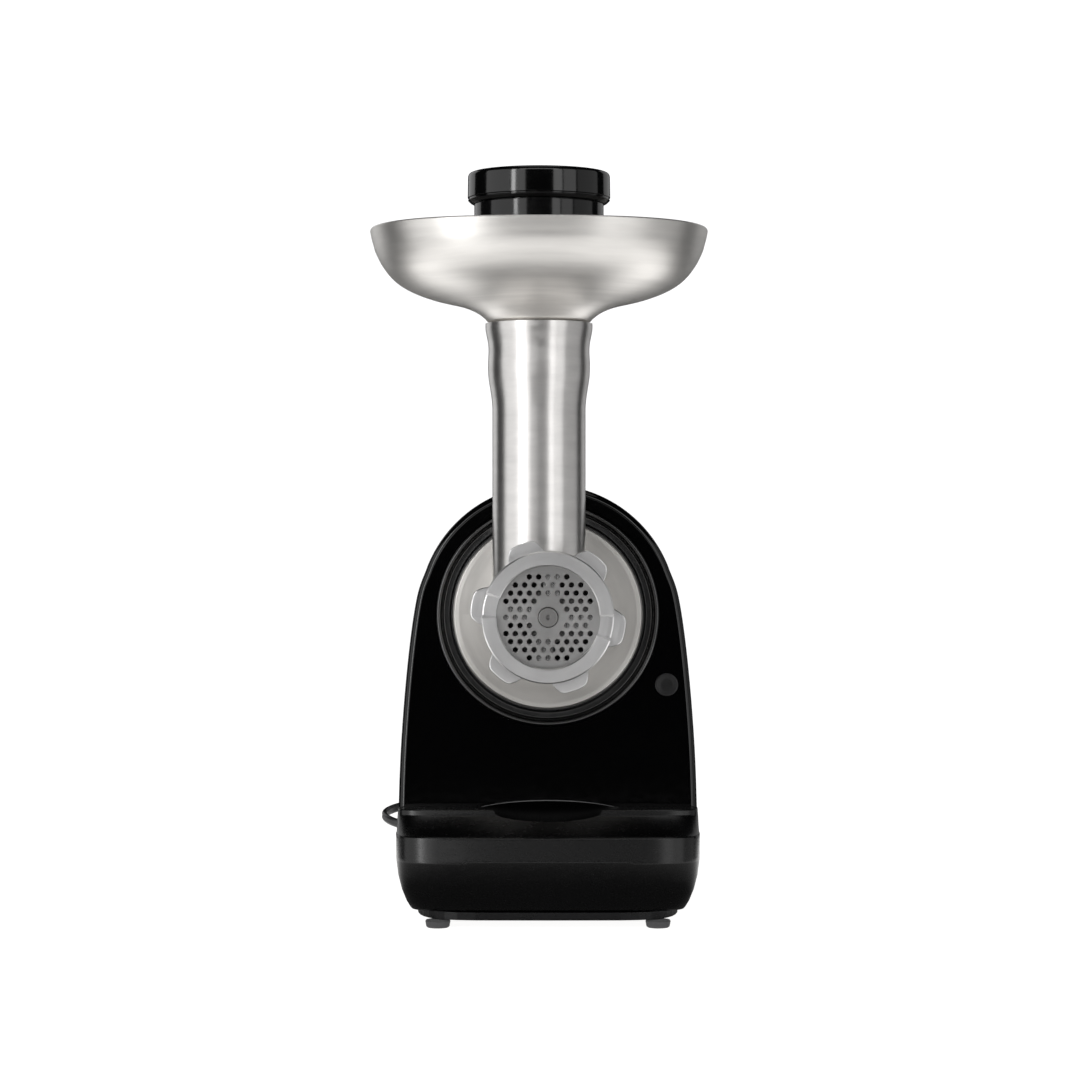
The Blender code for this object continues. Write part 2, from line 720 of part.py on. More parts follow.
def lug_outline():
    """The ring nut seen from the front: a circle with six lugs, as (x, z)."""
    half_lug = math.radians(11.5)
    half_foot = math.radians(17)
    points = []
    for i in range(LUG_COUNT):
        middle = LUG_ANGLE + math.tau * i / LUG_COUNT
        points.append((NUT_RADIUS, middle - half_foot))
        points.append((LUG_RADIUS - 0.0012, middle - half_lug))
        points.append((LUG_RADIUS, middle - 0.7 * half_lug))
        points.append((LUG_RADIUS, middle + 0.7 * half_lug))
        points.append((LUG_RADIUS - 0.0012, middle + half_lug))
        points.append((NUT_RADIUS, middle + half_foot))
        points.append((NUT_RADIUS, middle + math.pi / LUG_COUNT))
    return [(radius * math.cos(angle), radius * math.sin(angle)) for radius, angle in points]


def ring_nut():
    """The screwed ring that holds the plate, with its lugs, its lip and two notches in the lip."""
    nut = plate("ring_nut", [lug_outline(), circle(NUT_BORE, 28)], 0.0080,
                on_head_axis(NUT_BACK + 0.0040), FORWARD)
    lip = turned("c", [
        (NUT_LIP, NUT_FRONT), (NUT_RADIUS - 0.0006, NUT_FRONT), (NUT_RADIUS, NUT_FRONT - 0.0006),
        (NUT_RADIUS, NUT_BACK + 0.0070), (NUT_BORE, NUT_BACK + 0.0070),
        (NUT_BORE, BARREL_AHEAD + GAP), (NUT_LIP, BARREL_AHEAD + GAP),
    ], on_head_axis(), FORWARD, 28, ring=True)
    join(nut, lip)
    for angle in (math.radians(187), math.radians(-11)):
        radius = NUT_RADIUS
        place = (BODY_X + radius * math.cos(angle), PANEL_Y - NUT_FRONT - 0.0010,
                 HEAD_Z + radius * math.sin(angle))
        cut(nut, box("c", (0.0110, 0.0070, 0.0110), place, (0, -angle, 0)))
    finish(nut, STEEL_BRIGHT)


def die_plate():
    """The perforated plate, with its holes on a triangular grid round the centre pin's hole."""
    holes = [circle(0.0049, 12)]
    for row in range(-5, 6):
        shift = 0.5 if row % 2 == 0 else 0.0
        for column in range(-6, 6):
            x = (column + shift) * PLATE_PITCH
            z = row * PLATE_PITCH * math.sin(math.pi / 3)
            if 2.0 < math.hypot(x, z) / PLATE_PITCH < 5.0:
                holes.append(circle(PLATE_HOLE, 5, (x, z)))
    ahead = BARREL_AHEAD - PLATE_THICK / 2
    disc = plate("die_plate", [circle(PLATE_RADIUS, 32), *holes], PLATE_THICK,
                 on_head_axis(ahead), FORWARD)
    finish(disc, STEEL_BRIGHT)


def cutting_knife():
    """The four-armed knife that turns against the back of the plate."""
    outline = []
    for i in range(4):
        middle = math.tau * i / 4
        for radius, angle in ((0.0075, -0.75), (0.0236, -0.26), (0.0242, -0.05), (0.0236, 0.10),
                              (0.0095, 0.28)):
            outline.append((radius * math.cos(middle + angle), radius * math.sin(middle + angle)))
    hole = [(0.0040, -0.0040), (0.0040, 0.0040), (-0.0040, 0.0040), (-0.0040, -0.0040)]
    knife = plate("cutting_knife", [outline, hole], 0.0038, on_head_axis(0.0512), FORWARD)
    finish(knife, STEEL_BRIGHT)


def auger():
    """The feed screw, with a square end for the knife, a pin for the plate and a driven tail."""
    start, end, sections, sides = 0.0065, 0.0485, 19, 20
    rings = []
    for i in range(sections):
        ahead = start + (end - start) * i / (sections - 1)
        root = 0.0085 + 0.0045 * (ahead - start) / (end - start)
        turn = math.tau * (ahead - start) / AUGER_PITCH
        ring = []
        for k in range(sides):
            angle = math.tau * k / sides
            crest = max(0.0, math.cos(angle)) ** 6
            radius = root + (AUGER_RADIUS - root) * crest
            ring.append((radius * math.cos(angle + turn), -ahead, radius * math.sin(angle + turn)))
        rings.append(ring)
    screw = loft("auger", rings)
    screw.location = on_head_axis()
    shank = turned("c", [(0, 0.0200), (0.0069, 0.0200), (0.0069, -0.0040), (0, -0.0040)],
                   on_head_axis(), FORWARD, 24)
    tail = cylinder("c", 0.0066, 0.0180, on_head_axis(-0.0125), FORWARD, 6)
    square = box("c", (0.0074, 0.0121, 0.0074), on_head_axis(0.0474))
    pin = cylinder("c", PIN_RADIUS, 0.0067, on_head_axis(0.0566), FORWARD, 20)
    thrust = cylinder("c", 0.0120, 0.0012, on_head_axis(0.0066), FORWARD, 24)
    join(screw, shank, tail, square, pin, thrust)
    finish(screw, STEEL_SATIN)


def auger_bush():
    """The plastic bush that carries the auger's shank in the barrel's back wall."""
    profile = [(0.0072, 0.0057), (0.0115, 0.0057), (0.0115, 0.0043), (0.0093, 0.0043),
               (0.0093, -0.0012), (0.0072, -0.0012)]
    finish(turned("auger_bush", profile, on_head_axis(), FORWARD, 16, ring=True), NYLON)


# ---------------------------------------------------------------- tray and pusher

def tray_profile():
    """The outside of the tray from its neck to its rim, as (radius, height)."""
    bowl = ((0.0266, 0.2975), (0.0312, 0.3020), (0.0506, 0.3079), (0.0657, 0.3138),
            (0.0756, 0.3226), (0.0804, 0.3315), (TRAY_HALF_WIDTH, TRAY_RIM_Z))
    return [(0.0232, 0.2780), (0.0232, 0.2966), *bowl]


def tray_ring(radius, z, count=36):
    """A level loop of the tray: round at its neck, and squarer with rounded corners at its rim."""
    share = min(1.0, max(0.0, (radius - 0.030) / (TRAY_HALF_WIDTH - 0.030)))
    power = 2.0 + 0.5 * share
    depth = radius * (1 - share * (1 - TRAY_HALF_DEPTH / TRAY_HALF_WIDTH))
    ring = []
    for i in range(count):
        angle = math.tau * i / count
        c, s = math.cos(angle), math.sin(angle)
        ring.append((
            radius * math.copysign(abs(c) ** (2 / power), c),
            FEED_Y + depth * math.copysign(abs(s) ** (2 / power), s),
            z,
        ))
    return ring


def feed_tray():
    """The steel tray: a wide bowl of sheet whose neck drops into the feed tube's collar."""
    outer = tray_profile()
    inner = []
    for i, here in enumerate(outer):
        before = Vector(outer[max(0, i - 1)])
        after = Vector(outer[min(len(outer) - 1, i + 1)])
        along = (after - before).normalized()
        point = Vector(here) + TRAY_SHEET * Vector((-along.y, along.x))
        inner.append((point.x, here[1] if i in (0, len(outer) - 1) else point.y))
    rings = [tray_ring(radius, z) for radius, z in outer + inner[::-1]]
    finish(loft("feed_tray", rings, closed=True), STEEL_SATIN)


def pusher_body():
    """The hollow pusher: a wide handle over the tray and a stem down the feed tube."""
    profile = [(0, STEM_BOTTOM + 0.0020), (STEM_RADIUS - 0.0020, STEM_BOTTOM + 0.0020),
               (STEM_RADIUS - 0.0020, HANDLE_BOTTOM + 0.0022),
               (HANDLE_RADIUS - 0.0022, HANDLE_BOTTOM + 0.0022), (HANDLE_RADIUS - 0.0022, HANDLE_TOP),
               (HANDLE_RADIUS, HANDLE_TOP), (HANDLE_RADIUS, HANDLE_BOTTOM + 0.0012),
               (HANDLE_RADIUS - 0.0012, HANDLE_BOTTOM), (STEM_RADIUS, HANDLE_BOTTOM),
               (STEM_RADIUS, STEM_BOTTOM + 0.0015), (STEM_RADIUS - 0.0015, STEM_BOTTOM),
               (0, STEM_BOTTOM)]
    finish(turned("pusher_body", profile, (0, FEED_Y, 0), steps=28), BLACK_SATIN)


def pusher_cap():
    """The glossy cap pressed into the top of the pusher."""
    spigot = HANDLE_RADIUS - 0.0022 - GAP
    profile = [(0, CAP_TOP), (CAP_RADIUS - 0.0024, CAP_TOP), (CAP_RADIUS - 0.0007, CAP_TOP - 0.0007),
               (CAP_RADIUS, CAP_TOP - 0.0024), (CAP_RADIUS, 0.3572), (CAP_RADIUS - 0.0012, 0.3556),
               (HANDLE_RADIUS, HANDLE_TOP + GAP), (spigot, HANDLE_TOP + GAP), (spigot, 0.3490),
               (spigot - 0.0020, 0.3490), (spigot - 0.0020, CAP_TOP - 0.0024), (0, CAP_TOP - 0.0024)]
    finish(turned("pusher_cap", profile, (0, FEED_Y, 0), steps=32), BLACK_GLOSS)


# ---------------------------------------------------------------- gears

def meeting_point(first, first_distance, second, second_distance, side):
    """The point at set distances from two others, on one side of the line between them."""
    first, second = Vector(first), Vector(second)
    span = second - first
    along = (first_distance ** 2 - second_distance ** 2 + span.length ** 2) / (2 * span.length)
    across = math.sqrt(first_distance ** 2 - along ** 2)
    unit = span.normalized()
    return first + along * unit + side * across * Vector((-unit.y, unit.x))


def centre_distance(module):
    """How far apart a pinion and its gear stand."""
    return module * (PINION_TEETH + GEAR_TEETH) / 2


def gear_places():
    """The axes of the motor and of the first, second and output gears, as (x, z)."""
    motor = Vector((BODY_X, MOTOR_Z))
    output = Vector((BODY_X, HEAD_Z))
    reach = centre_distance(FIRST_MODULE)
    first = motor + reach * Vector((math.cos(FIRST_GEAR_ANGLE), math.sin(FIRST_GEAR_ANGLE)))
    second = meeting_point(output, centre_distance(OUTPUT_MODULE), first,
                           centre_distance(SECOND_MODULE), 1)
    return motor, first, second, output


def gear_outline(teeth, module, phase):
    """A spur gear's edge with straight-sided teeth. The phase turns the middle of its first tooth."""
    pitch_angle = math.tau / teeth
    radius = module * teeth / 2
    shape = ((-0.30, -1.15), (-0.12, 0.80), (0.12, 0.80), (0.30, -1.15))
    points = []
    for i in range(teeth):
        for share, height in shape:
            angle = phase + (i + share) * pitch_angle
            points.append(((radius + height * module) * math.cos(angle),
                           (radius + height * module) * math.sin(angle)))
    return points


def mesh_phase(own, other, teeth, gap):
    """The phase that turns a tooth, or the gap after it, towards the other gear's axis."""
    angle = math.atan2(other.y - own.y, other.x - own.x)
    return angle - (math.pi / teeth if gap else 0.0)


def wheel(name, outline, bore, place, back_from, back_to, sides=10):
    """A flat wheel between two depths behind the panel, with a hole for its shaft."""
    thickness = back_to - back_from
    location = (place.x, PANEL_Y + (back_from + back_to) / 2, place.y)
    return plate(name, [outline, circle(bore, sides)], thickness, location, FORWARD)


def gears():
    """The two double gears and the output gear that slow the motor 64 times."""
    motor, first, second, output = gear_places()
    bore = 0.0033
    low = wheel("first_gear", gear_outline(GEAR_TEETH, FIRST_MODULE,
                                           mesh_phase(first, motor, GEAR_TEETH, True)),
                bore, first, 0.050, 0.058)
    join(low, wheel("c", gear_outline(PINION_TEETH, SECOND_MODULE,
                                      mesh_phase(first, second, PINION_TEETH, False)),
                    bore, first, 0.039, 0.051))
    finish(low, NYLON)
    middle = wheel("second_gear", gear_outline(GEAR_TEETH, SECOND_MODULE,
                                               mesh_phase(second, first, GEAR_TEETH, True)),
                   bore, second, 0.039, 0.047)
    join(middle, wheel("c", gear_outline(PINION_TEETH, OUTPUT_MODULE,
                                         mesh_phase(second, output, PINION_TEETH, False)),
                       bore, second, 0.026, 0.040))
    finish(middle, NYLON)
    high = wheel("output_gear", gear_outline(GEAR_TEETH, OUTPUT_MODULE,
                                             mesh_phase(output, second, GEAR_TEETH, True)),
                 0.0083, output, 0.026, 0.036, 20)
    finish(high, CORE_STEEL)
    for name, place in (("first_gear_shaft", first), ("second_gear_shaft", second)):
        shaft = cylinder(name, 0.003, 0.0344, (place.x, PANEL_Y + 0.0420, place.y), FORWARD, 16)
        finish(shaft, STEEL_BRIGHT)


def output_shaft():
    """The short spindle with a six-sided socket that drives the auger's tail."""
    profile = [(0, -0.0060), (0.0110, -0.0060), (0.0110, -0.0155), (0.0080, -0.0155),
               (0.0080, -0.0380), (0, -0.0380)]
    spindle = turned("output_shaft", profile, on_head_axis(), FORWARD, 24)
    cut(spindle, cylinder("c", 0.0072, 0.020, on_head_axis(-0.0150), FORWARD, 6))
    finish(spindle, STEEL_BRIGHT)


def output_bush():
    """The bush that carries the spindle in the gearbox's front boss."""
    profile = [(0.0083, -0.0163), (0.0110, -0.0163), (0.0110, -0.0255), (0.0083, -0.0255)]
    finish(turned("output_bush", profile, on_head_axis(), FORWARD, 16, ring=True), BRASS)


def case_outline(half):
    """The gearbox seen from the front: round over the output gear and square below, as (x, z)."""
    points = [(BODY_X + half * math.cos(math.pi * i / 16), HEAD_Z + half * math.sin(math.pi * i / 16))
              for i in range(17)]
    low = CASE_BOTTOM + CASE_HALF - half
    return points + [(BODY_X - half, low), (BODY_X + half, low)]


def gearbox():
    """The gearbox case, a cup that holds the gears, and the cover that closes it."""
    front, back, wall = 0.022, 0.0592, 0.0025
    case = plate("gearbox_case", [case_outline(CASE_HALF)], back - front,
                 (0, PANEL_Y + (front + back) / 2, 0), FORWARD)
    hollow = plate("c", [case_outline(CASE_HALF - wall)], back - front,
                   (0, PANEL_Y + (front + back) / 2 + wall, 0), FORWARD)
    boss = cylinder("c", 0.0140, 0.0070, on_head_axis(-0.0200), FORWARD, 24)
    cut(case, hollow)
    join(case, boss)
    cut(case, cylinder("c", 0.0113, 0.030, on_head_axis(-0.0200), FORWARD, 24))
    finish(case, ALUMINIUM)
    motor = gear_places()[0]
    cover = plate("gearbox_cover", [case_outline(CASE_HALF), circle(BEARING_RADIUS + GAP, 24, motor)],
                  0.0050, (0, PANEL_Y + 0.0620, 0), FORWARD)
    finish(cover, ALUMINIUM)


# ---------------------------------------------------------------- the motor

def on_motor_axis(back):
    """A place on the motor's axis, this far behind the panel."""
    return (BODY_X, PANEL_Y + back, MOTOR_Z)


def motor_ring(name, inner, outer, back_from, back_to, look, steps=16):
    """A plain ring round the motor's shaft."""
    profile = [(inner, -back_from), (outer, -back_from), (outer, -back_to), (inner, -back_to)]
    ring = turned(name, profile, on_motor_axis(0), FORWARD, steps, ring=True)
    return finish(ring, look)


def rotor():
    """The turning half of the motor: the shaft with its pinion, core, commutator and fan."""
    motor, first = gear_places()[:2]
    shaft = cylinder("motor_shaft", SHAFT_RADIUS, 0.1030, on_motor_axis(0.1025), FORWARD, 20)
    pinion = plate("c", [gear_outline(PINION_TEETH, FIRST_MODULE,
                                      mesh_phase(motor, first, PINION_TEETH, False))],
                   0.0080, on_motor_axis(0.0540), FORWARD)
    join(pinion, shaft)
    pinion.data.name = "motor_shaft"
    finish(pinion, STEEL_BRIGHT, "motor_shaft")
    motor_ring("rotor_core", SHAFT_RADIUS + GAP, 0.0205, 0.074, 0.114, CORE_STEEL, 24)
    motor_ring("commutator", SHAFT_RADIUS + GAP, 0.0100, 0.122, 0.134, COPPER)
    hub = turned("cooling_fan", [
        (0.0043, -0.1365), (0.0090, -0.1365), (0.0090, -0.1440), (0.0270, -0.1440),
        (0.0270, -0.1460), (0.0043, -0.1460),
    ], on_motor_axis(0), FORWARD, 24, ring=True)
    for i in range(8):
        angle = math.tau * i / 8
        blade = box("c", (0.0190, 0.0075, 0.0014),
                    (BODY_X + 0.0172 * math.cos(angle), PANEL_Y + 0.1408,
                     MOTOR_Z + 0.0172 * math.sin(angle)), (0, -angle, 0))
        join(hub, blade)
    finish(hub, BLACK_SATIN)


def stator():
    """The motor's fixed half: the laminated frame, two field coils and two brushes."""
    frame = box("motor_stator", (0.0720, 0.0400, 0.0640), on_motor_axis(0.094))
    cut(
        frame,
        cylinder("c", 0.0213, 0.06, on_motor_axis(0.094), FORWARD, 30),
        box("c", (0.0600, 0.06, 0.0260), on_motor_axis(0.094)),
    )
    finish(frame, CORE_STEEL)
    for side, sign in (("left", -1), ("right", 1)):
        coil = box(f"field_coil_{side}", (0.0076, 0.0500, 0.0250),
                   (BODY_X + sign * 0.0256, PANEL_Y + 0.094, MOTOR_Z))
        finish(coil, COPPER)
        brush = box(f"carbon_brush_{side}", (0.0150, 0.0060, 0.0060),
                    (BODY_X + sign * 0.0178, PANEL_Y + 0.128, MOTOR_Z))
        finish(brush, CARBON)


def motor_supports():
    """The cradle under the motor, the rear bracket and the two bearings."""
    deck_top = DECK_Z + DECK_THICK
    height = MOTOR_Z - 0.0320 - GAP - deck_top - GAP
    cradle = box("motor_cradle", (0.0560, 0.0320, height),
                 (BODY_X, PANEL_Y + 0.094, deck_top + GAP + height / 2))
    finish(cradle, BLACK_RUBBER)
    low = deck_top + GAP
    top = MOTOR_Z + 0.018
    outline = [(-0.030, low), (0.030, low), (0.018, top), (-0.018, top)]
    hole = circle(BEARING_RADIUS + GAP, 24, (0, MOTOR_Z))
    bracket = plate("motor_bracket", [outline, hole], 0.0040, (BODY_X, PANEL_Y + 0.1505, 0), FORWARD)
    finish(bracket, ALUMINIUM)
    motor_ring("motor_bearing_front", SHAFT_RADIUS + GAP, BEARING_RADIUS, 0.0590, 0.0640, STEEL_BRIGHT)
    motor_ring("motor_bearing_rear", SHAFT_RADIUS + GAP, BEARING_RADIUS, 0.1480, 0.1530, STEEL_BRIGHT)


def power_switch():
    """The switch in the body's right side: its body in the wall and the rocker on its pivot."""
    x, y, z = BODY_X + 0.0683, PANEL_Y + 0.092, 0.086
    body = box("switch_body", (0.0130, 0.0280, 0.0200), (x, y, z))
    cut(body, box("c", (0.0130, 0.0240, 0.0140), (x + 0.0040, y, z)))
    finish(body, BLACK_SATIN)
    rocker = box("rocker_switch", (0.0070, 0.0220, 0.0120), (x + 0.0046, y, z))
    bevel = rocker.modifiers.new("Edges", "BEVEL")
    bevel.width = 0.0008
    bevel.segments = 1
    finish(rocker, BLACK_GLOSS)


# ---------------------------------------------------------------- the mains cord

def strain_relief():
    """The soft tapered sleeve where the cord leaves the rear cover."""
    profile = [(0, RELIEF_LENGTH), (0.0036, RELIEF_LENGTH), (0.0058, 0.0020), (0.0075, 0.0016),
               (0.0075, GAP), (0.0058, GAP), (0.0058, -0.0040), (0, -0.0040)]
    sleeve = turned("cord_strain_relief", profile, (CORD_EXIT[0], REAR_Y, CORD_EXIT[1]),
                    (-math.pi / 2, 0, 0), 20)
    finish(sleeve, BLACK_RUBBER)


def mains_cord():
    """The free cord: its loose stretch, the wound length behind the body and the tie."""
    finish(tube("mains_cord", through(CORD_ROUTE, 3), CORD_RADIUS), BLACK_RUBBER)
    middle = (COIL_TOP + COIL_BOTTOM) / 2
    half_height, half_width_ = (COIL_TOP - COIL_BOTTOM) / 2, CORD_RADIUS
    profile = [(COIL_RADIUS - half_width_, half_height), (COIL_RADIUS + half_width_, half_height),
               (COIL_RADIUS + half_width_, -half_height), (COIL_RADIUS - half_width_, -half_height)]
    coil = turned("cord_coil", profile, (*COIL_CENTRE, middle), steps=36, ring=True)
    finish(coil, BLACK_RUBBER)
    opening = (2 * half_width_ + 2 * GAP, 0.02, 2 * half_height + 2 * GAP)
    place = (COIL_CENTRE[0] + COIL_RADIUS, COIL_CENTRE[1], middle)
    tie = box("cord_tie", (opening[0] + 0.0012, 0.0040, opening[2] + 0.0012), place)
    cut(tie, box("c", opening, place))
    finish(tie, BLACK_SATIN)


def plug():
    """The flat two-pin plug with its tapered relief, lying where the last turn leaves the coil."""
    place = (PLUG_START_X, TAIL_Y, PLUG_Z)
    relief_top = PLUG_RELIEF + 0.004
    relief = turned("plug_body", [(0, relief_top), (0.0062, relief_top), (0.0034, 0), (0, 0)],
                    place, (0, -math.pi / 2, 0), 16)
    outline = [(0, -0.0085), (0, 0.0085), (-0.0050, 0.0130), (-PLUG_BODY, 0.0130),
               (-PLUG_BODY, -0.0130), (-0.0050, -0.0130)]
    block = plate("c", [[(x - PLUG_RELIEF, y) for x, y in outline]], 0.0130, place)
    join(relief, block)
    finish(relief, BLACK_RUBBER)
    pin_middle = PLUG_START_X - PLUG_RELIEF - PLUG_BODY - GAP - PLUG_PIN / 2
    for side, sign in (("left", -1), ("right", 1)):
        pin = cylinder(f"plug_pin_{side}", 0.0020, PLUG_PIN,
                       (pin_middle, TAIL_Y + sign * 0.0093, PLUG_Z), (0, math.pi / 2, 0), 12)
        finish(pin, BRASS)


def main():
    """Build every piece."""
    clear_scene()
    front_panel()
    casing()
    rear_cover()
    inner_deck()
    base_plate()
    feet()
    base_screws()
    drawer_front()
    drawer_tray()
    head_socket()
    release_button()
    grinder_head()
    head_flange()
    ring_nut()
    die_plate()
    cutting_knife()
    auger()
    auger_bush()
    feed_tray()
    pusher_body()
    pusher_cap()
    gears()
    output_shaft()
    output_bush()
    gearbox()
    rotor()
    stator()
    motor_supports()
    power_switch()
    strain_relief()
    mains_cord()
    plug()
    CUTTERS.hide_render = True


main()
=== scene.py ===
"""Looks of the electric meat grinder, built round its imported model.

Each sub-assembly is a class that holds its sizes, in metres, and makes and dresses its
own pieces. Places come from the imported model. +Z is up and the grinder faces -Y.
"""

from __future__ import annotations

import logging
import math
from abc import ABC, abstractmethod
from dataclasses import dataclass, field
from enum import Enum
from typing import Callable, Iterable, Sequence

import bmesh
import bpy
import numpy as np
from mathutils import Euler, Matrix, Vector

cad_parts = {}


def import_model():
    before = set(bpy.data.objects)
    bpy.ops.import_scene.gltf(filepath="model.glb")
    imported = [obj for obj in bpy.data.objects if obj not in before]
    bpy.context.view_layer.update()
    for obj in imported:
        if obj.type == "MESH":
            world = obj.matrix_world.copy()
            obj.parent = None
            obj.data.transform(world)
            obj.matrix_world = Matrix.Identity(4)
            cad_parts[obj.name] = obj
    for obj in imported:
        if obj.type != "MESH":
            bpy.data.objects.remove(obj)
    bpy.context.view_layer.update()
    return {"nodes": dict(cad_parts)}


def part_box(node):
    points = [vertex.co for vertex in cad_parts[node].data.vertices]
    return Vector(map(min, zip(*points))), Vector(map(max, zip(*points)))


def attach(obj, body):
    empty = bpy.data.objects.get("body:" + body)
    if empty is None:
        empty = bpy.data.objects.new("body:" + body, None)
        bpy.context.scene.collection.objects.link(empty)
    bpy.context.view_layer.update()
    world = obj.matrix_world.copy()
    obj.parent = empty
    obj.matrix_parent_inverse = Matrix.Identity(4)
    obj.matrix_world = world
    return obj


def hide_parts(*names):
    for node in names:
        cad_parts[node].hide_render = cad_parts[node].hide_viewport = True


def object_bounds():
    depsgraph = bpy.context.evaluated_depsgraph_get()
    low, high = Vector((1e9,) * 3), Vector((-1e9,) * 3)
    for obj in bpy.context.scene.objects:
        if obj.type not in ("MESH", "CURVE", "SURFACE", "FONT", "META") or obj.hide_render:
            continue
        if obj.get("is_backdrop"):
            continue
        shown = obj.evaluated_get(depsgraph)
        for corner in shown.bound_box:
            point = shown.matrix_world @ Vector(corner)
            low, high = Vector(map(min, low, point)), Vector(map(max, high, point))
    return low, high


LOG = logging.getLogger("meat_grinder")
# Clearance between pieces that lie against each other.
GAP = 0.0003
# Points nearer the axis than this are on it, and points nearer each other than this are one.
ON_AXIS = 1e-7
SAME_POINT = 0.000004
# A rounded corner takes no more than this share of the lines beside it.
CORNER_SHARE = 0.48
# Edges that bend more than this, in degrees, stay sharp.
SHARP = 32.0

Point = tuple[float, float]
Place = tuple[float, float, float]
Colour = tuple[float, float, float]
# A corner of an outline: its two coordinates and how far it is rounded.
Corner = tuple[float, float, float]
Piece = bpy.types.Object
Mesh = bmesh.types.BMesh
Socket = bpy.types.NodeSocket


# ---------------------------------------------------------------- finishes

# Where soft noise starts and ends, and where a surface turns from its dark to its light shade.
NOISE_START, NOISE_END = 0.30, 0.70
SHADES_START, SHADES_END = 0.32, 0.68
# Turns a stretched highlight so that it lies across the lines.
ACROSS_THE_LINES = 0.25


class Grain(Enum):
    """Which way the fine lines of a metal run."""

    ROUND = "round the piece's own axis"
    LENGTH = "along the piece's own axis"
    CAST = "no way in particular"


class NodeBench:
    """A short way to wire up one material's nodes."""

    def __init__(self, name: str) -> None:
        """Start a material whose shader is ready to take settings.

        Args:
            name: The material's name.
        """
        self.material = bpy.data.materials.new(name)
        self.material.use_nodes = True
        self.tree = self.material.node_tree
        self.shader = self.tree.nodes["Principled BSDF"]

    def set(self, socket: str, value: float | Colour) -> None:
        """Set one of the shader's own values.

        Args:
            socket: The socket's name.
            value: A number or a colour.
        """
        if isinstance(value, tuple):
            value = (*value, 1.0)
        self.shader.inputs[socket].default_value = value

    def link(self, source: Socket, target: Socket) -> None:
        """Join two sockets."""
        self.tree.links.new(source, target)

    def coordinates(self) -> Socket:
        """The piece's own coordinates, in metres."""
        return self.tree.nodes.new("ShaderNodeTexCoord").outputs["Object"]

    def maths(self, operation: str, first: Socket | float,
              second: Socket | float = 0.0) -> Socket:
        """Work out one sum.

        Args:
            operation: Name of the sum.
            first: First number or socket.
            second: Second number or socket.

        Returns:
            The socket that gives the answer.
        """
        node = self.tree.nodes.new("ShaderNodeMath")
        node.operation = operation
        for entry, value in zip(node.inputs, (first, second)):
            if isinstance(value, (int, float)):
                entry.default_value = value
            else:
                self.link(value, entry)
        return node.outputs[0]

    def scaled(self, vector: Socket, scale: Place) -> Socket:
        """Stretch coordinates by a factor along each axis.

        Args:
            vector: The coordinates.
            scale: The factors.

        Returns:
            The stretched coordinates.
        """
        node = self.tree.nodes.new("ShaderNodeMapping")
        node.inputs["Scale"].default_value = scale
        self.link(vector, node.inputs["Vector"])
        return node.outputs[0]

    def split(self) -> tuple[Socket, Socket, Socket]:
        """The piece's own coordinates along X, Y and Z.

        Returns:
            The three sockets.
        """
        node = self.tree.nodes.new("ShaderNodeSeparateXYZ")
        self.link(self.coordinates(), node.inputs[0])
        x, y, z = node.outputs
        return x, y, z

    def radius(self, x: Socket, y: Socket) -> Socket:
        """The distance from the piece's Z axis."""
        return self.maths("SQRT", self.maths("ADD", self.maths("MULTIPLY", x, x),
                                             self.maths("MULTIPLY", y, y)))

    def polar(self, round_scale: float, across_scale: float) -> Socket:
        """Coordinates that follow the piece round its axis.

        Args:
            round_scale: How fast they change round the axis, per radian.
            across_scale: How fast they change outward and along the axis, per metre.

        Returns:
            The socket of the coordinates.
        """
        x, y, z = self.split()
        radius = self.radius(x, y)
        angle = self.maths("ARCTAN2", y, x)
        join = self.tree.nodes.new("ShaderNodeCombineXYZ")
        self.link(self.maths("MULTIPLY", radius, across_scale), join.inputs[0])
        self.link(self.maths("MULTIPLY", angle, round_scale), join.inputs[1])
        self.link(self.maths("MULTIPLY", z, across_scale), join.inputs[2])
        return join.outputs[0]

    def noise(self, vector: Socket, scale: float, detail: float = 3.0,
              rough: float = 0.55) -> Socket:
        """Soft noise between about 0.3 and 0.7.

        Args:
            vector: Coordinates to read it at.
            scale: How fine it is.
            detail: Number of finer layers.
            rough: How strong the finer layers are.

        Returns:
            The socket of the noise's value.
        """
        node = self.tree.nodes.new("ShaderNodeTexNoise")
        node.inputs["Scale"].default_value = scale
        node.inputs["Detail"].default_value = detail
        node.inputs["Roughness"].default_value = rough
        self.link(vector, node.inputs["Vector"])
        return node.outputs[0]

    def between(self, value: Socket, low: float, high: float,
                start: float = NOISE_START, end: float = NOISE_END) -> Socket:
        """Map a value, soft noise by default, onto the range from low to high.

        Args:
            value: The value.
            low: The answer at the start.
            high: The answer at the end.
            start: Where the value starts.
            end: Where the value ends.

        Returns:
            The socket of the answer.
        """
        node = self.tree.nodes.new("ShaderNodeMapRange")
        node.inputs["From Min"].default_value = start
        node.inputs["From Max"].default_value = end
        node.inputs["To Min"].default_value = low
        node.inputs["To Max"].default_value = high
        self.link(value, node.inputs["Value"])
        return node.outputs[0]

    def shades(self, value: Socket, dark: Colour, light: Colour) -> None:
        """Colour the surface between two shades by a value.

        Args:
            value: The value, soft noise or a wave.
            dark: The shade where it is low.
            light: The shade where it is high.
        """
        node = self.tree.nodes.new("ShaderNodeValToRGB")
        first, last = node.color_ramp.elements
        first.position, first.color = SHADES_START, (*dark, 1.0)
        last.position, last.color = SHADES_END, (*light, 1.0)
        self.link(value, node.inputs["Fac"])
        self.link(node.outputs["Color"], self.shader.inputs["Base Color"])

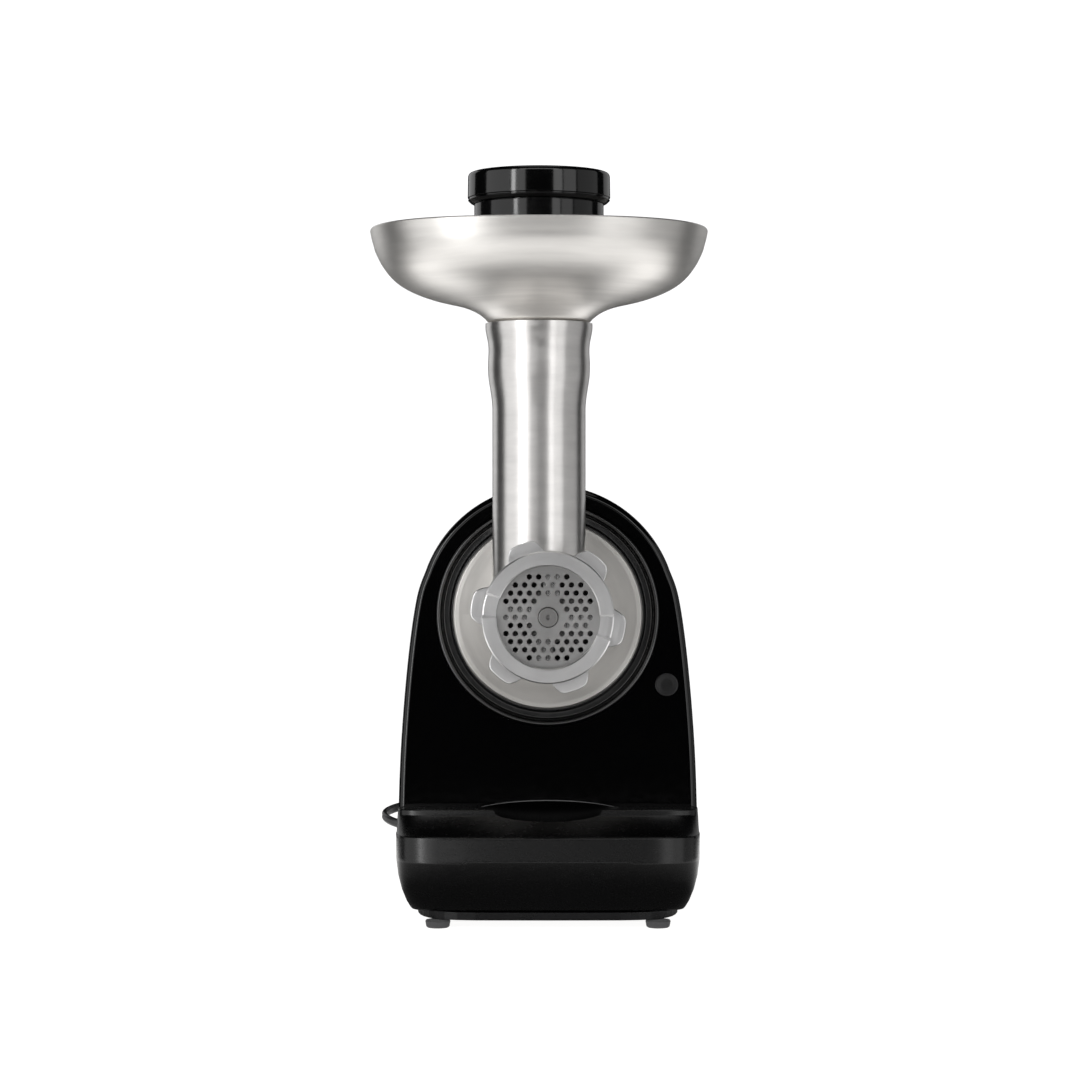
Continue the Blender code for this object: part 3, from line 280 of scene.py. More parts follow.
    def relief(self, height: Socket, depth: float) -> None:
        """Raise the surface by a height pattern.

        Args:
            height: The pattern.
            depth: Its depth, in metres.
        """
        node = self.tree.nodes.new("ShaderNodeBump")
        node.inputs["Strength"].default_value = 1.0
        node.inputs["Distance"].default_value = depth
        self.link(height, node.inputs["Height"])
        self.link(node.outputs["Normal"], self.shader.inputs["Normal"])

    def roughen(self, pattern: Socket, roughness: float, wander: float) -> None:
        """Let the roughness wander to either side of its mean by a pattern."""
        self.link(self.between(pattern, roughness - wander, roughness + wander),
                  self.shader.inputs["Roughness"])


def tinted(colour: Colour, factor: float) -> Colour:
    """The same colour, lighter or darker."""
    red, green, blue = (min(1.0, part * factor) for part in colour)
    return red, green, blue


@dataclass(frozen=True)
class Finish(ABC):
    """What a piece is made of: its material, and the record's slot for it."""

    name: str
    slot: str
    colour: Colour
    roughness: float

    def material(self) -> bpy.types.Material:
        """Make the material, or give back the one already made.

        Returns:
            The material.
        """
        made = bpy.data.materials.get(self.name)
        if made:
            return made
        bench = NodeBench(self.name)
        self.wire(bench)
        return bench.material

    @abstractmethod
    def wire(self, bench: NodeBench) -> None:
        """Wire up the nodes of the material being made."""


@dataclass(frozen=True)
class Plastic(Finish):
    """Moulded plastic or rubber with a fine surface grain."""

    wander: float
    grain_size: float
    grain_depth: float
    specular: float = 0.5
    sheen: float = 0.0

    def wire(self, bench: NodeBench) -> None:
        """Wire up the clouded colour, the faint wear and the grain.

        Args:
            bench: The material being made.
        """
        coords = bench.coordinates()
        cloud = bench.noise(coords, 38.0, 4.0)
        bench.shades(cloud, tinted(self.colour, 0.86), tinted(self.colour, 1.16))
        wear = bench.noise(bench.scaled(coords, (1.0, 1.0, 2.2)), 210.0, 5.0, 0.65)
        bench.roughen(wear, self.roughness, self.wander)
        bench.relief(bench.noise(coords, 1.0 / self.grain_size, 2.0, 0.5), self.grain_depth)
        bench.set("Specular IOR Level", self.specular)
        bench.set("Sheen Weight", self.sheen)


@dataclass(frozen=True)
class Metal(Finish):
    """Bare metal with the lines that its making left."""

    wander: float
    grain: Grain
    line_depth: float
    anisotropy: float = 0.0
    lines: float = 5200.0

    def wire(self, bench: NodeBench) -> None:
        """Wire up the lines, the clouding and the way highlights spread.

        Args:
            bench: The material being made.
        """
        bench.set("Metallic", 1.0)
        lines, broad = self.patterns(bench)
        bench.shades(broad, tinted(self.colour, 0.93), tinted(self.colour, 1.05))
        bench.roughen(lines, self.roughness, self.wander)
        bench.relief(lines, self.line_depth)
        if self.anisotropy:
            bench.set("Anisotropic", self.anisotropy)
            bench.set("Anisotropic Rotation", ACROSS_THE_LINES)
            tangent = bench.tree.nodes.new("ShaderNodeTangent")
            tangent.direction_type = "RADIAL"
            tangent.axis = "Z"
            bench.link(tangent.outputs[0], bench.shader.inputs["Tangent"])

    def patterns(self, bench: NodeBench) -> tuple[Socket, Socket]:
        """The fine lines and the broad clouding of the metal.

        Args:
            bench: The material being made.

        Returns:
            The fine lines' socket and the broad clouding's socket.
        """
        if self.grain is Grain.ROUND:
            fine = bench.noise(bench.polar(1.6, self.lines), 1.0, 3.0, 0.6)
            broad = bench.noise(bench.polar(1.1, self.lines / 26.0), 1.0, 3.0)
        elif self.grain is Grain.LENGTH:
            coords = bench.coordinates()
            along = bench.scaled(coords, (self.lines, self.lines, 26.0))
            fine = bench.noise(along, 1.0, 3.0, 0.6)
            broad = bench.noise(coords, 55.0, 3.0)
        else:
            coords = bench.coordinates()
            fine = bench.noise(coords, self.lines / 3.0, 4.0, 0.6)
            broad = bench.noise(coords, 70.0, 4.0)
        return fine, broad


@dataclass(frozen=True)
class Laminated(Finish):
    """A stack of thin pressed steel sheets or of wound wire, seen edge-on."""

    gap_colour: Colour
    pitch: float
    metallic: float
    wander: float = 0.08

    def wire(self, bench: NodeBench) -> None:
        """Wire up the bands of the stack, with a film of oil on them.

        Args:
            bench: The material being made.
        """
        bench.set("Metallic", self.metallic)
        wave = bench.tree.nodes.new("ShaderNodeTexWave")
        wave.wave_type = "BANDS"
        wave.bands_direction = "Y"
        wave.inputs["Scale"].default_value = math.tau / (20.0 * self.pitch)
        wave.inputs["Distortion"].default_value = 0.15
        bench.link(bench.coordinates(), wave.inputs["Vector"])
        bench.shades(wave.outputs["Fac"], self.gap_colour, self.colour)
        oil = bench.noise(bench.coordinates(), 130.0, 4.0)
        bench.roughen(oil, self.roughness, self.wander)
        bench.relief(wave.outputs["Fac"], self.pitch * 0.2)


PANEL_BLACK = Plastic("polished_black", "gloss_black", (0.0006, 0.0006, 0.0007), 0.075, 0.02,
                      0.0045, 0.0000035, specular=0.42)
CAP_BLACK = Plastic("polished_cap_black", "gloss_black", (0.001, 0.001, 0.0011), 0.11, 0.02,
                    0.0055, 0.000004, specular=0.60)
CASE_BLACK = Plastic("satin_case_black", "satin_black", (0.0065, 0.0065, 0.007), 0.30, 0.05,
                     0.0006, 0.000012, specular=0.40)
DRAWER_BLACK = Plastic("satin_drawer_black", "satin_black", (0.0010, 0.0010, 0.0011), 0.26, 0.03,
                       0.0009, 0.000003, specular=0.42)
SOCKET_BLACK = Plastic("satin_socket_black", "gloss_black", (0.0010, 0.0010, 0.0011), 0.24, 0.03,
                       0.0020, 0.000002, specular=1.0)
BUTTON_BLACK = Plastic("button_black", "satin_black", (0.0045, 0.0045, 0.0048), 0.36, 0.05,
                       0.0005, 0.000010, specular=0.30)
HANDLE_BLACK = Plastic("handle_black", "satin_black", (0.004, 0.004, 0.0043), 0.12, 0.03,
                       0.0012, 0.000006, specular=0.50)
FOOT_RUBBER = Plastic("foot_rubber", "rubber", (0.055, 0.055, 0.057), 0.72, 0.08,
                      0.0004, 0.000030, specular=0.35, sheen=0.15)
GREY_RUBBER = Plastic("grey_rubber", "rubber", (0.030, 0.030, 0.031), 0.70, 0.08,
                      0.0005, 0.000030, specular=0.35)
CORD_BLACK = Plastic("cord_sheath", "cord_black", (0.016, 0.016, 0.017), 0.34, 0.06,
                     0.0008, 0.000018, specular=0.55)
TIE_BLACK = Plastic("tie_black", "satin_black", (0.018, 0.018, 0.019), 0.55, 0.08,
                    0.0005, 0.00005, specular=0.4, sheen=0.2)
NYLON = Plastic("natural_nylon", "nylon", (0.74, 0.71, 0.63), 0.46, 0.06,
                0.0010, 0.000020, specular=0.45)
CARBON = Plastic("pressed_carbon", "carbon", (0.045, 0.045, 0.048), 0.60, 0.08,
                 0.0004, 0.000020, specular=0.4)
TUBE_STEEL = Metal("satin_tube_steel", "satin_steel", (0.72, 0.705, 0.69), 0.33, 0.030,
                   Grain.ROUND, 0.0000012, anisotropy=0.60)
TRAY_STEEL = Metal("spun_tray_steel", "satin_steel", (0.82, 0.80, 0.77), 0.44, 0.030,
                   Grain.ROUND, 0.0000012, anisotropy=0.45, lines=4200.0)
FLANGE_STEEL = Metal("turned_flange_steel", "satin_steel", (0.63, 0.615, 0.59), 0.36, 0.040,
                     Grain.ROUND, 0.0000015, anisotropy=0.75, lines=3600.0)
NUT_STEEL = Metal("machined_nut_steel", "bright_steel", (0.72, 0.715, 0.715), 0.36, 0.05,
                  Grain.ROUND, 0.0000008, anisotropy=0.30, lines=3000.0)
PLATE_STEEL = Metal("ground_plate_steel", "bright_steel", (0.38, 0.376, 0.372), 0.40, 0.05,
                    Grain.ROUND, 0.0000010, anisotropy=0.40, lines=3400.0)
CUTTER_STEEL = Metal("ground_cutter_steel", "bright_steel", (0.62, 0.615, 0.61), 0.26, 0.05,
                     Grain.LENGTH, 0.0000025)
SHAFT_STEEL = Metal("bright_shaft_steel", "bright_steel", (0.66, 0.66, 0.66), 0.22, 0.05,
                    Grain.ROUND, 0.0000025)
SCREW_STEEL = Metal("auger_steel", "satin_steel", (0.30, 0.295, 0.29), 0.38, 0.06,
                    Grain.CAST, 0.0000060)
HARD_STEEL = Metal("hardened_steel", "core_steel", (0.22, 0.22, 0.23), 0.42, 0.08,
                   Grain.CAST, 0.0000080)
CAST_ALUMINIUM = Metal("cast_aluminium", "aluminium", (0.60, 0.595, 0.585), 0.46, 0.08,
                       Grain.CAST, 0.000022, lines=3000.0)
BRASS = Metal("turned_brass", "brass", (0.70, 0.52, 0.25), 0.30, 0.06, Grain.ROUND, 0.0000025)
LAMINATIONS = Laminated("motor_laminations", "core_steel", (0.20, 0.20, 0.21), 0.48,
                        (0.05, 0.05, 0.05), 0.0009, 1.0)
WINDING = Laminated("enamelled_winding", "copper", (0.55, 0.21, 0.09), 0.32,
                    (0.16, 0.05, 0.02), 0.0008, 0.7)


# ---------------------------------------------------------------- mesh making

def softened(profile: Sequence[Corner], closed: bool = False, steps: int = 5) -> list[Point]:
    """Round off the corners of a line of points.

    Args:
        profile: Corners as (first, second, radius); a radius of 0 keeps the corner sharp.
        closed: Whether the last corner joins the first.
        steps: Number of chords in each rounded corner.

    Returns:
        The points of the rounded line.
    """
    made: list[Point] = []
    count = len(profile)
    for i, (first, second, radius) in enumerate(profile):
        here = Vector((first, second))
        if radius <= 0 or (not closed and i in (0, count - 1)):
            made.append((here.x, here.y))
            continue
        before = Vector(profile[i - 1][:2]) - here
        after = Vector(profile[(i + 1) % count][:2]) - here
        turn = before.angle(after)
        reach = min(radius / math.tan(turn / 2), CORNER_SHARE * before.length,
                    CORNER_SHARE * after.length)
        start = here + before.normalized() * reach
        end = here + after.normalized() * reach
        for step in range(steps + 1):
            share = step / steps
            point = (1 - share) ** 2 * start + 2 * share * (1 - share) * here + share ** 2 * end
            made.append((point.x, point.y))
    return made


def through(points: Sequence[Sequence[float]], steps: int) -> list[tuple[float, ...]]:
    """Points along a smooth curve that passes through each given point.

    Args:
        points: The points to pass through.
        steps: Number of chords between two of them.

    Returns:
        The curve's points.
    """
    first = [2 * a - b for a, b in zip(points[0], points[1])]
    last = [2 * a - b for a, b in zip(points[-1], points[-2])]
    knots = [first, *[list(point) for point in points], last]
    path: list[tuple[float, ...]] = []
    for p0, p1, p2, p3 in zip(knots, knots[1:], knots[2:], knots[3:]):
        for step in range(steps):
            t = step / steps
            path.append(tuple(
                0.5 * (2 * b + (c - a) * t + (2 * a - 5 * b + 4 * c - d) * t * t
                       + (3 * b - a - 3 * c + d) * t ** 3)
                for a, b, c, d in zip(p0, p1, p2, p3)
            ))
    path.append(tuple(points[-1]))
    return path


def skinned(rings: Sequence[Sequence[Place]], loop: bool = False) -> Mesh:
    """Skin equal loops of points.

    Args:
        rings: The loops, each with the same number of points.
        loop: Whether the last loop joins the first. If not, the two end loops are filled.

    Returns:
        The closed mesh, with its faces pointing outward.
    """
    bm = bmesh.new()
    loops = [[bm.verts.new(point) for point in ring] for ring in rings]
    pairs = list(zip(loops, loops[1:]))
    if loop:
        pairs.append((loops[-1], loops[0]))
    for lower, upper in pairs:
        count = len(lower)
        for i in range(count):
            j = (i + 1) % count
            bm.faces.new((lower[i], lower[j], upper[j], upper[i]))
    if not loop:
        bm.faces.new(list(reversed(loops[0])))
        bm.faces.new(loops[-1])
    bmesh.ops.recalc_face_normals(bm, faces=bm.faces)
    return bm


def circle(radius: float, sides: int, centre: Point = (0.0, 0.0)) -> list[Point]:
    """Points round a circle."""
    return [(centre[0] + radius * math.cos(math.tau * i / sides),
             centre[1] + radius * math.sin(math.tau * i / sides)) for i in range(sides)]


def lathe(profile: Sequence[Point], sides: int, loop: bool = False) -> Mesh:
    """Turn a profile about the Z axis.

    Args:
        profile: Points as (radius, height). An open profile starts and ends on the axis.
        sides: Number of steps round.
        loop: Whether the profile is a closed ring.

    Returns:
        The closed mesh.
    """
    bm = bmesh.new()
    rows: list[list[bmesh.types.BMVert]] = []
    for radius, height in profile:
        turn = [(0.0, 0.0)] if radius < ON_AXIS else circle(radius, sides)
        rows.append([bm.verts.new((x, y, height)) for x, y in turn])
    pairs = list(zip(rows, rows[1:]))
    if loop:
        pairs.append((rows[-1], rows[0]))
    for lower, upper in pairs:
        for i in range(sides):
            j = (i + 1) % sides
            corners = [lower[i % len(lower)], lower[j % len(lower)],
                       upper[j % len(upper)], upper[i % len(upper)]]
            unique = list(dict.fromkeys(corners))
            if len(unique) > 2:
                bm.faces.new(unique)
    bmesh.ops.recalc_face_normals(bm, faces=bm.faces)
    return bm


def ball(radius: float, steps: int) -> Mesh:
    """A round ball with this many bands, and twice as many segments round."""
    angles = [math.pi * i / steps for i in range(steps + 1)]
    return lathe([(radius * math.sin(a), -radius * math.cos(a)) for a in angles], 2 * steps)


def piece(name: str, bm: Mesh, finish: Finish | None = None,
          origin: Sequence[float] = (0, 0, 0), turn: Sequence[float] = (0, 0, 0),
          sharp: float = SHARP) -> Piece:
    """Make an object of a mesh, shaded smooth between its sharp edges.

    Args:
        name: Its name.
        bm: Its mesh, which is used up.
        finish: What it is made of.
        origin: Where its own origin is.
        turn: Its rotation.
        sharp: Edges that bend more than this, in degrees, stay sharp.

    Returns:
        The object.
    """
    mesh = bpy.data.meshes.new(name)
    bm.to_mesh(mesh)
    bm.free()
    obj = bpy.data.objects.new(name, mesh)
    obj.matrix_world = Matrix.Translation(Vector(origin)) @ Euler(turn).to_matrix().to_4x4()
    bpy.context.scene.collection.objects.link(obj)
    shade(obj, sharp)
    if finish:
        mesh.materials.append(finish.material())
    return obj


def shade(obj: Piece, sharp: float) -> None:
    """Shade a piece smooth between its sharp edges, evenly over its flat faces.

    Args:
        obj: The piece.
        sharp: Edges that bend more than this, in degrees, stay sharp.
    """
    obj.data.shade_smooth()
    obj.data.set_sharp_from_angle(angle=math.radians(sharp))
    if "Even shading" not in obj.modifiers:
        even = obj.modifiers.new("Even shading", "WEIGHTED_NORMAL")
        even.keep_sharp = True
        even.weight = 80


def turned(name: str, profile: Sequence[Corner], sides: int, finish: Finish,
           origin: Sequence[float], turn: Sequence[float] = (0, 0, 0), loop: bool = False,
           steps: int = 5) -> Piece:
    """Make a piece that is turned about its own Z axis.

    Args:
        name: Its name.
        profile: Its corners, as (radius, height, rounding).
        sides: Number of steps round.
        finish: What it is made of.
        origin: Where its own origin is.
        turn: Its rotation.
        loop: Whether the profile is a closed ring.
        steps: Number of chords in each rounded corner.

    Returns:
        The piece.
    """
    return piece(name, lathe(softened(profile, loop, steps), sides, loop), finish, origin, turn)


def merge(target: Mesh, extra: Mesh, place: Matrix | None = None) -> None:
    """Add one mesh to another.

    Args:
        target: The mesh that grows.
        extra: The mesh to add, which is used up.
        place: Where it goes in the first one's coordinates, if it has to move.
    """
    if place is not None:
        bmesh.ops.transform(extra, matrix=place, verts=extra.verts)
    held = bpy.data.meshes.new("held")
    extra.to_mesh(held)
    extra.free()
    target.from_mesh(held)
    bpy.data.meshes.remove(held)


def cut(obj: Piece, cutters: Iterable[Piece], sharp: float = SHARP) -> None:
    """Cut each cutter out of a piece and remove the cutters.

    Args:
        obj: The piece.
        cutters: Solids to take away.
        sharp: Edges that bend more than this, in degrees, stay sharp.
    """
    obj.modifiers.clear()
    for cutter in cutters:
        cutter.modifiers.clear()
        step = obj.modifiers.new("Cut", "BOOLEAN")
        step.operation = "DIFFERENCE"
        step.solver = "EXACT"
        step.object = cutter
        bpy.context.view_layer.update()
        graph = bpy.context.evaluated_depsgraph_get()
        mesh = bpy.data.meshes.new_from_object(obj.evaluated_get(graph))
        obj.modifiers.clear()
        obj.data = mesh
        bpy.data.objects.remove(cutter, do_unlink=True)
    shade(obj, sharp)


def rod(radius: float, length: float, centre: Sequence[float], turn: Sequence[float] = (0, 0, 0),
        sides: int = 64) -> Piece:
    """A round solid to cut with, along its own Z axis.

    Args:
        radius: Its radius.
        length: Its length.
        centre: Its middle.
        turn: Its rotation.
        sides: Number of steps round.

    Returns:
        The cutter.
    """
    profile = [(0, -length / 2), (radius, -length / 2), (radius, length / 2), (0, length / 2)]
    return piece("cutter", lathe(profile, sides), origin=centre, turn=turn)


def slab(size: Sequence[float], centre: Sequence[float], corner: float = 0.0) -> Piece:
    """A block, to cut with or to be cut.

    Args:
        size: Its extent along X, Y and Z.
        centre: Its middle.
        corner: Radius of its rounded edges.

    Returns:
        The block.
    """
    bm = bmesh.new()
    bmesh.ops.create_cube(bm, size=1)
    bmesh.ops.scale(bm, vec=Vector(size), verts=bm.verts)
    if corner > 0:
        bmesh.ops.bevel(bm, geom=list(bm.edges), offset=corner, segments=4, profile=0.5,
                        affect="EDGES")
    return piece("cutter", bm, origin=centre)


def flat_shape(name: str, outlines: Sequence[Sequence[Point]], thickness: float, finish: Finish,
               origin: Sequence[float], turn: Sequence[float], edge: float) -> Piece:
    """A flat plate with holes, its edges broken by a small bevel.

    Args:
        name: Its name.
        outlines: Its edge and then its holes.
        thickness: Its full thickness.
        finish: What it is made of.
        origin: Its middle.
        turn: Its rotation.
        edge: Size of the bevel on every edge.

    Returns:
        The plate.
    """
    curve = bpy.data.curves.new(name, "CURVE")
    curve.dimensions = "2D"
    curve.fill_mode = "BOTH"
    curve.extrude = thickness / 2 - edge
    curve.bevel_depth = edge
    curve.bevel_resolution = 1
    curve.offset = -edge
    for outline in outlines:
        spline = curve.splines.new("POLY")
        spline.points.add(len(outline) - 1)
        for point, (x, y) in zip(spline.points, outline):
            point.co = (x, y, 0, 1)
        spline.use_cyclic_u = True
    drawn = bpy.data.objects.new(name, curve)
    bpy.context.scene.collection.objects.link(drawn)
    bpy.context.view_layer.update()
    graph = bpy.context.evaluated_depsgraph_get()
    mesh = bpy.data.meshes.new_from_object(drawn.evaluated_get(graph))
    bm = bmesh.new()
    bm.from_mesh(mesh)
    bmesh.ops.remove_doubles(bm, verts=bm.verts, dist=SAME_POINT)
    bpy.data.objects.remove(drawn, do_unlink=True)
    return piece(name, bm, finish, origin, turn)


def swept(path: Sequence[Place], section: Callable[[float], Sequence[Point]]) -> Mesh:
    """Sweep a section along a path, its second axis kept as upright as it can be.

    Args:
        path: Points of the centreline.
        section: Gives the section's points at a share of the length from 0 to 1.

    Returns:
        The closed mesh.
    """
    points = [Vector(point) for point in path]
    lengths = [0.0]
    for before, after in zip(points, points[1:]):
        lengths.append(lengths[-1] + (after - before).length)
    rings = []
    for i, here in enumerate(points):
        along = (points[min(i + 1, len(points) - 1)] - points[max(i - 1, 0)]).normalized()
        side = along.cross(Vector((0, 0, 1))).normalized()
        up = side.cross(along).normalized()
        share = lengths[i] / lengths[-1]
        rings.append([tuple(here + side * a + up * b) for a, b in section(share)])
    return skinned(rings)


def eased(share: float) -> float:
    """A share from 0 to 1 that starts and ends gently."""
    return share * share * (3 - 2 * share)


def oval(width: float, height: float, sides: int, power: float = 2.0,
         waist: float = 0.0) -> list[Point]:
    """A rounded section.

    Args:
        width: Its full width.
        height: Its full height.
        sides: Number of points.
        power: 2 gives an ellipse, and more a squarer shape.
        waist: Share of the width that is pinched in at mid height.

    Returns:
        Its points, anticlockwise.
    """
    made = []
    for i in range(sides):
        angle = math.tau * i / sides
        c, s = math.cos(angle), math.sin(angle)
        pinch = 1.0 - waist * math.exp(-(s / 0.28) ** 2)
        made.append((width / 2 * math.copysign(abs(c) ** (2 / power), c) * pinch,
                     height / 2 * math.copysign(abs(s) ** (2 / power), s)))
    return made


def settle(obj: Piece, body: str, finish: Finish, *nodes: str) -> Piece:
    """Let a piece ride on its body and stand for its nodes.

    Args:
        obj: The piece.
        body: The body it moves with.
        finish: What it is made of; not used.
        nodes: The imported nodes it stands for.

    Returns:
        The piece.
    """
    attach(obj, body)
    if nodes:
        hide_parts(*nodes)
    LOG.info("%s rides on %s", obj.name, body)
    return obj


# ---------------------------------------------------------------- places

FORWARD = (math.pi / 2, 0.0, 0.0)
REARWARD = (-math.pi / 2, 0.0, 0.0)


@dataclass(frozen=True)
class Room:
    """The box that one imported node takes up."""

    low: Vector
    high: Vector

    @classmethod
    def of(cls, node: str) -> Room:
        """The box of the node with this name."""
        return cls(*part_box(node))

    @property
    def centre(self) -> Vector:
        """Its middle."""
        return (self.low + self.high) / 2

    @property
    def size(self) -> Vector:
        """Its extent along X, Y and Z."""
        return self.high - self.low


@dataclass(frozen=True)
class Places:
    """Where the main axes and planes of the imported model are."""

    panel_y: float
    rear_y: float
    body_x: float
    head_z: float
    feed_x: float
    feed_y: float

    @classmethod
    def read(cls) -> Places:
        """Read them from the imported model's nodes.

        Returns:
            The places.
        """
        panel, cover = Room.of("front_panel"), Room.of("rear_cover")
        disc, cap = Room.of("head_flange").centre, Room.of("pusher_cap").centre
        return cls(panel.low.y, cover.high.y, disc.x, disc.z, cap.x, cap.y)

    def on_head(self, ahead: float = 0.0) -> Place:
        """A place on the grinding head's axis, this far ahead of the panel."""
        return self.body_x, self.panel_y - ahead, self.head_z


# ---------------------------------------------------------------- studio

@dataclass
class Softbox:
    """One soft lamp, at an angle round the grinder from its front."""

    name: str
    azimuth: float
    elevation: float
    distance: float
    width: float
    height: float
    brightness: float
    aim_z: float = 0.2

    def place(self, centre: Vector) -> None:
        """Hang the lamp, facing the grinder.

        Args:
            centre: Middle of the grinder on the floor.
        """
        lamp = bpy.data.lights.new(self.name, "AREA")
        lamp.shape = "RECTANGLE"
        lamp.size = self.width
        lamp.size_y = self.height
        lamp.energy = self.brightness * math.pi * self.width * self.height
        obj = bpy.data.objects.new(self.name, lamp)
        round_, up = math.radians(self.azimuth), math.radians(self.elevation)
        aim = centre + Vector((0, 0, self.aim_z))
        away = Vector((math.sin(round_) * math.cos(up), -math.cos(round_) * math.cos(up),
                       math.sin(up)))
        obj.location = aim + away * self.distance
        obj.rotation_mode = "QUATERNION"
        obj.rotation_quaternion = (-away).to_track_quat("-Z", "Y")
        obj.visible_camera = False
        bpy.context.scene.collection.objects.link(obj)


@dataclass
class Studio:
    """The pale floor, the backdrop, the lamps and the camera."""

    places: Places
    camera_distance: float = 1.525
    camera_height: float = 0.190
    camera_x: float = 0.0005
    lens: float = 101.67
    sensor: float = 36.0
    floor_radius: float = 0.62
    floor_glow: float = 0.95
    # The disc that shiny parts see in place of the table: a painted shadow of the grinder at dim
    # out to dim_radius, fading to a painted reflection of the lit table at bright from
    # bright_radius outward.
    sheen_radius: float = 0.50
    dim_radius: float = 0.11
    bright_radius: float = 0.30
    dim: float = 0.07
    bright: float = 1.55
    backdrop_radius: float = 7.0
    backdrop_glow: float = 1.1
    air_glow: float = 0.012
    lamps: tuple[Softbox, ...] = (
        Softbox("left_strip", -38.0, 2.0, 1.45, 0.16, 1.30, 8.5),
        Softbox("left_inner", -27.0, 2.0, 1.45, 0.36, 1.30, 1.4),
        Softbox("left_fill", -66.0, 4.0, 1.40, 1.15, 1.30, 1.05),
        Softbox("right_strip", 28.0, 2.0, 1.45, 0.34, 1.30, 1.8),
        Softbox("right_inner", 47.0, 4.0, 1.45, 0.52, 1.30, 1.15),
        Softbox("right_fill", 82.0, 6.0, 1.40, 1.10, 1.30, 0.42),
        Softbox("left_back", -140.0, 14.0, 1.50, 0.90, 1.20, 0.75),
        Softbox("right_back", 142.0, 14.0, 1.50, 0.90, 1.20, 0.45),
        Softbox("high_front", 0.0, 27.0, 1.60, 1.60, 0.34, 1.6),
        Softbox("low_front", 0.0, 5.0, 1.50, 0.90, 0.12, 0.8),
        Softbox("low_left", -11.0, 5.0, 1.45, 0.34, 0.14, 1.6),
        Softbox("overhead", 0.0, 86.0, 1.60, 1.00, 0.80, 0.9),
    )

    def build(self) -> None:
        """Set up the floor, backdrop, lamps and camera."""
        centre = Vector((self.places.feed_x, (self.places.panel_y + self.places.rear_y) / 2, 0))
        self.floor(centre)
        self.backdrop(centre)
        for lamp in self.lamps:
            lamp.place(centre)
        world = bpy.data.worlds.new("studio_air")
        world.use_nodes = True
        air = world.node_tree.nodes["Background"]
        air.inputs["Color"].default_value = (0.9, 0.95, 1.0, 1.0)
        air.inputs["Strength"].default_value = self.air_glow
        bpy.context.scene.world = world
        bpy.context.scene.view_settings.view_transform = "Standard"
        self.camera()

    @staticmethod
    def put_up(name: str, bm: Mesh, bench: NodeBench, origin: Sequence[float],
               unseen_by: Sequence[str]) -> None:
        """Put one piece of the set in its place.

        Args:
            name: Its name.
            bm: Its mesh, which is used up.
            bench: Its material.
            origin: Where it goes.
            unseen_by: The kinds of ray that pass it by.
        """
        obj = piece(name, bm, origin=origin)
        obj.data.materials.append(bench.material)
        for ray in unseen_by:
            setattr(obj, f"visible_{ray}", False)
        obj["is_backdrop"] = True

    def floor(self, centre: Vector) -> None:
        """A pale round table top under the grinder.

        Args:
            centre: Middle of the grinder on the floor.
        """
        bm = bmesh.new()
        bmesh.ops.create_circle(bm, cap_ends=True, segments=96, radius=self.floor_radius)
        bench = NodeBench("pale_table")
        cloud = bench.noise(bench.coordinates(), 3.0, 2.0)
        bench.shades(cloud, (0.80, 0.80, 0.80), (0.83, 0.83, 0.83))
        bench.set("Roughness", 0.6)
        bench.set("Emission Color", (1.0, 0.995, 0.99))
        bench.set("Emission Strength", self.floor_glow)
        self.put_up("table_top", bm, bench, (centre.x, centre.y, -0.0001), ("glossy",))
        self.painted_table_reflection(Vector((centre.x, self.places.feed_y, -0.0002)))

    def painted_table_reflection(self, origin: Vector) -> None:
        """What shiny parts see of the table: a dim painted shadow under the feed tube, a bright
        painted reflection further out.

        Args:
            origin: The table's point under the feed tube.
        """
        bm = bmesh.new()
        bmesh.ops.create_circle(bm, cap_ends=True, segments=96, radius=self.sheen_radius)
        bench = NodeBench("painted_table_reflection")
        bench.set("Base Color", (0.0, 0.0, 0.0))
        bench.set("Specular IOR Level", 0.0)
        bench.set("Emission Color", (1.0, 0.995, 0.99))
        x, y, _ = bench.split()
        # Painted shadow near the feed tube's axis, fading to a painted reflection further out.
        glow = bench.between(bench.radius(x, y), self.dim, self.bright,
                             self.dim_radius, self.bright_radius)
        bench.link(glow, bench.shader.inputs["Emission Strength"])
        self.put_up("painted_table_reflection", bm, bench, origin,
                    ("camera", "diffuse", "transmission", "volume_scatter", "shadow"))

    def backdrop(self, centre: Vector) -> None:
        """A white room round everything, which only the camera sees.

        Args:
            centre: Middle of the grinder on the floor.
        """
        bm = ball(self.backdrop_radius, 24)
        bench = NodeBench("white_backdrop")
        cloud = bench.noise(bench.coordinates(), 0.3, 2.0)
        bench.shades(cloud, (0.90, 0.90, 0.90), (0.92, 0.92, 0.92))
        bench.set("Emission Color", (1.0, 1.0, 1.0))
        bench.set("Emission Strength", self.backdrop_glow)
        self.put_up("white_room", bm, bench, (centre.x, centre.y, 0),
                    ("diffuse", "glossy", "transmission", "volume_scatter", "shadow"))

    def camera(self) -> None:
        """A level camera in front of the grinder."""
        data = bpy.data.cameras.new("front_camera")
        data.sensor_width = self.sensor
        data.lens = self.lens
        obj = bpy.data.objects.new("front_camera", data)
        obj.location = (self.camera_x, self.places.panel_y - self.camera_distance,
                        self.camera_height)
        obj.rotation_euler = (math.pi / 2, 0, 0)
        bpy.context.scene.collection.objects.link(obj)
        bpy.context.scene.camera = obj


# ---------------------------------------------------------------- mains cord

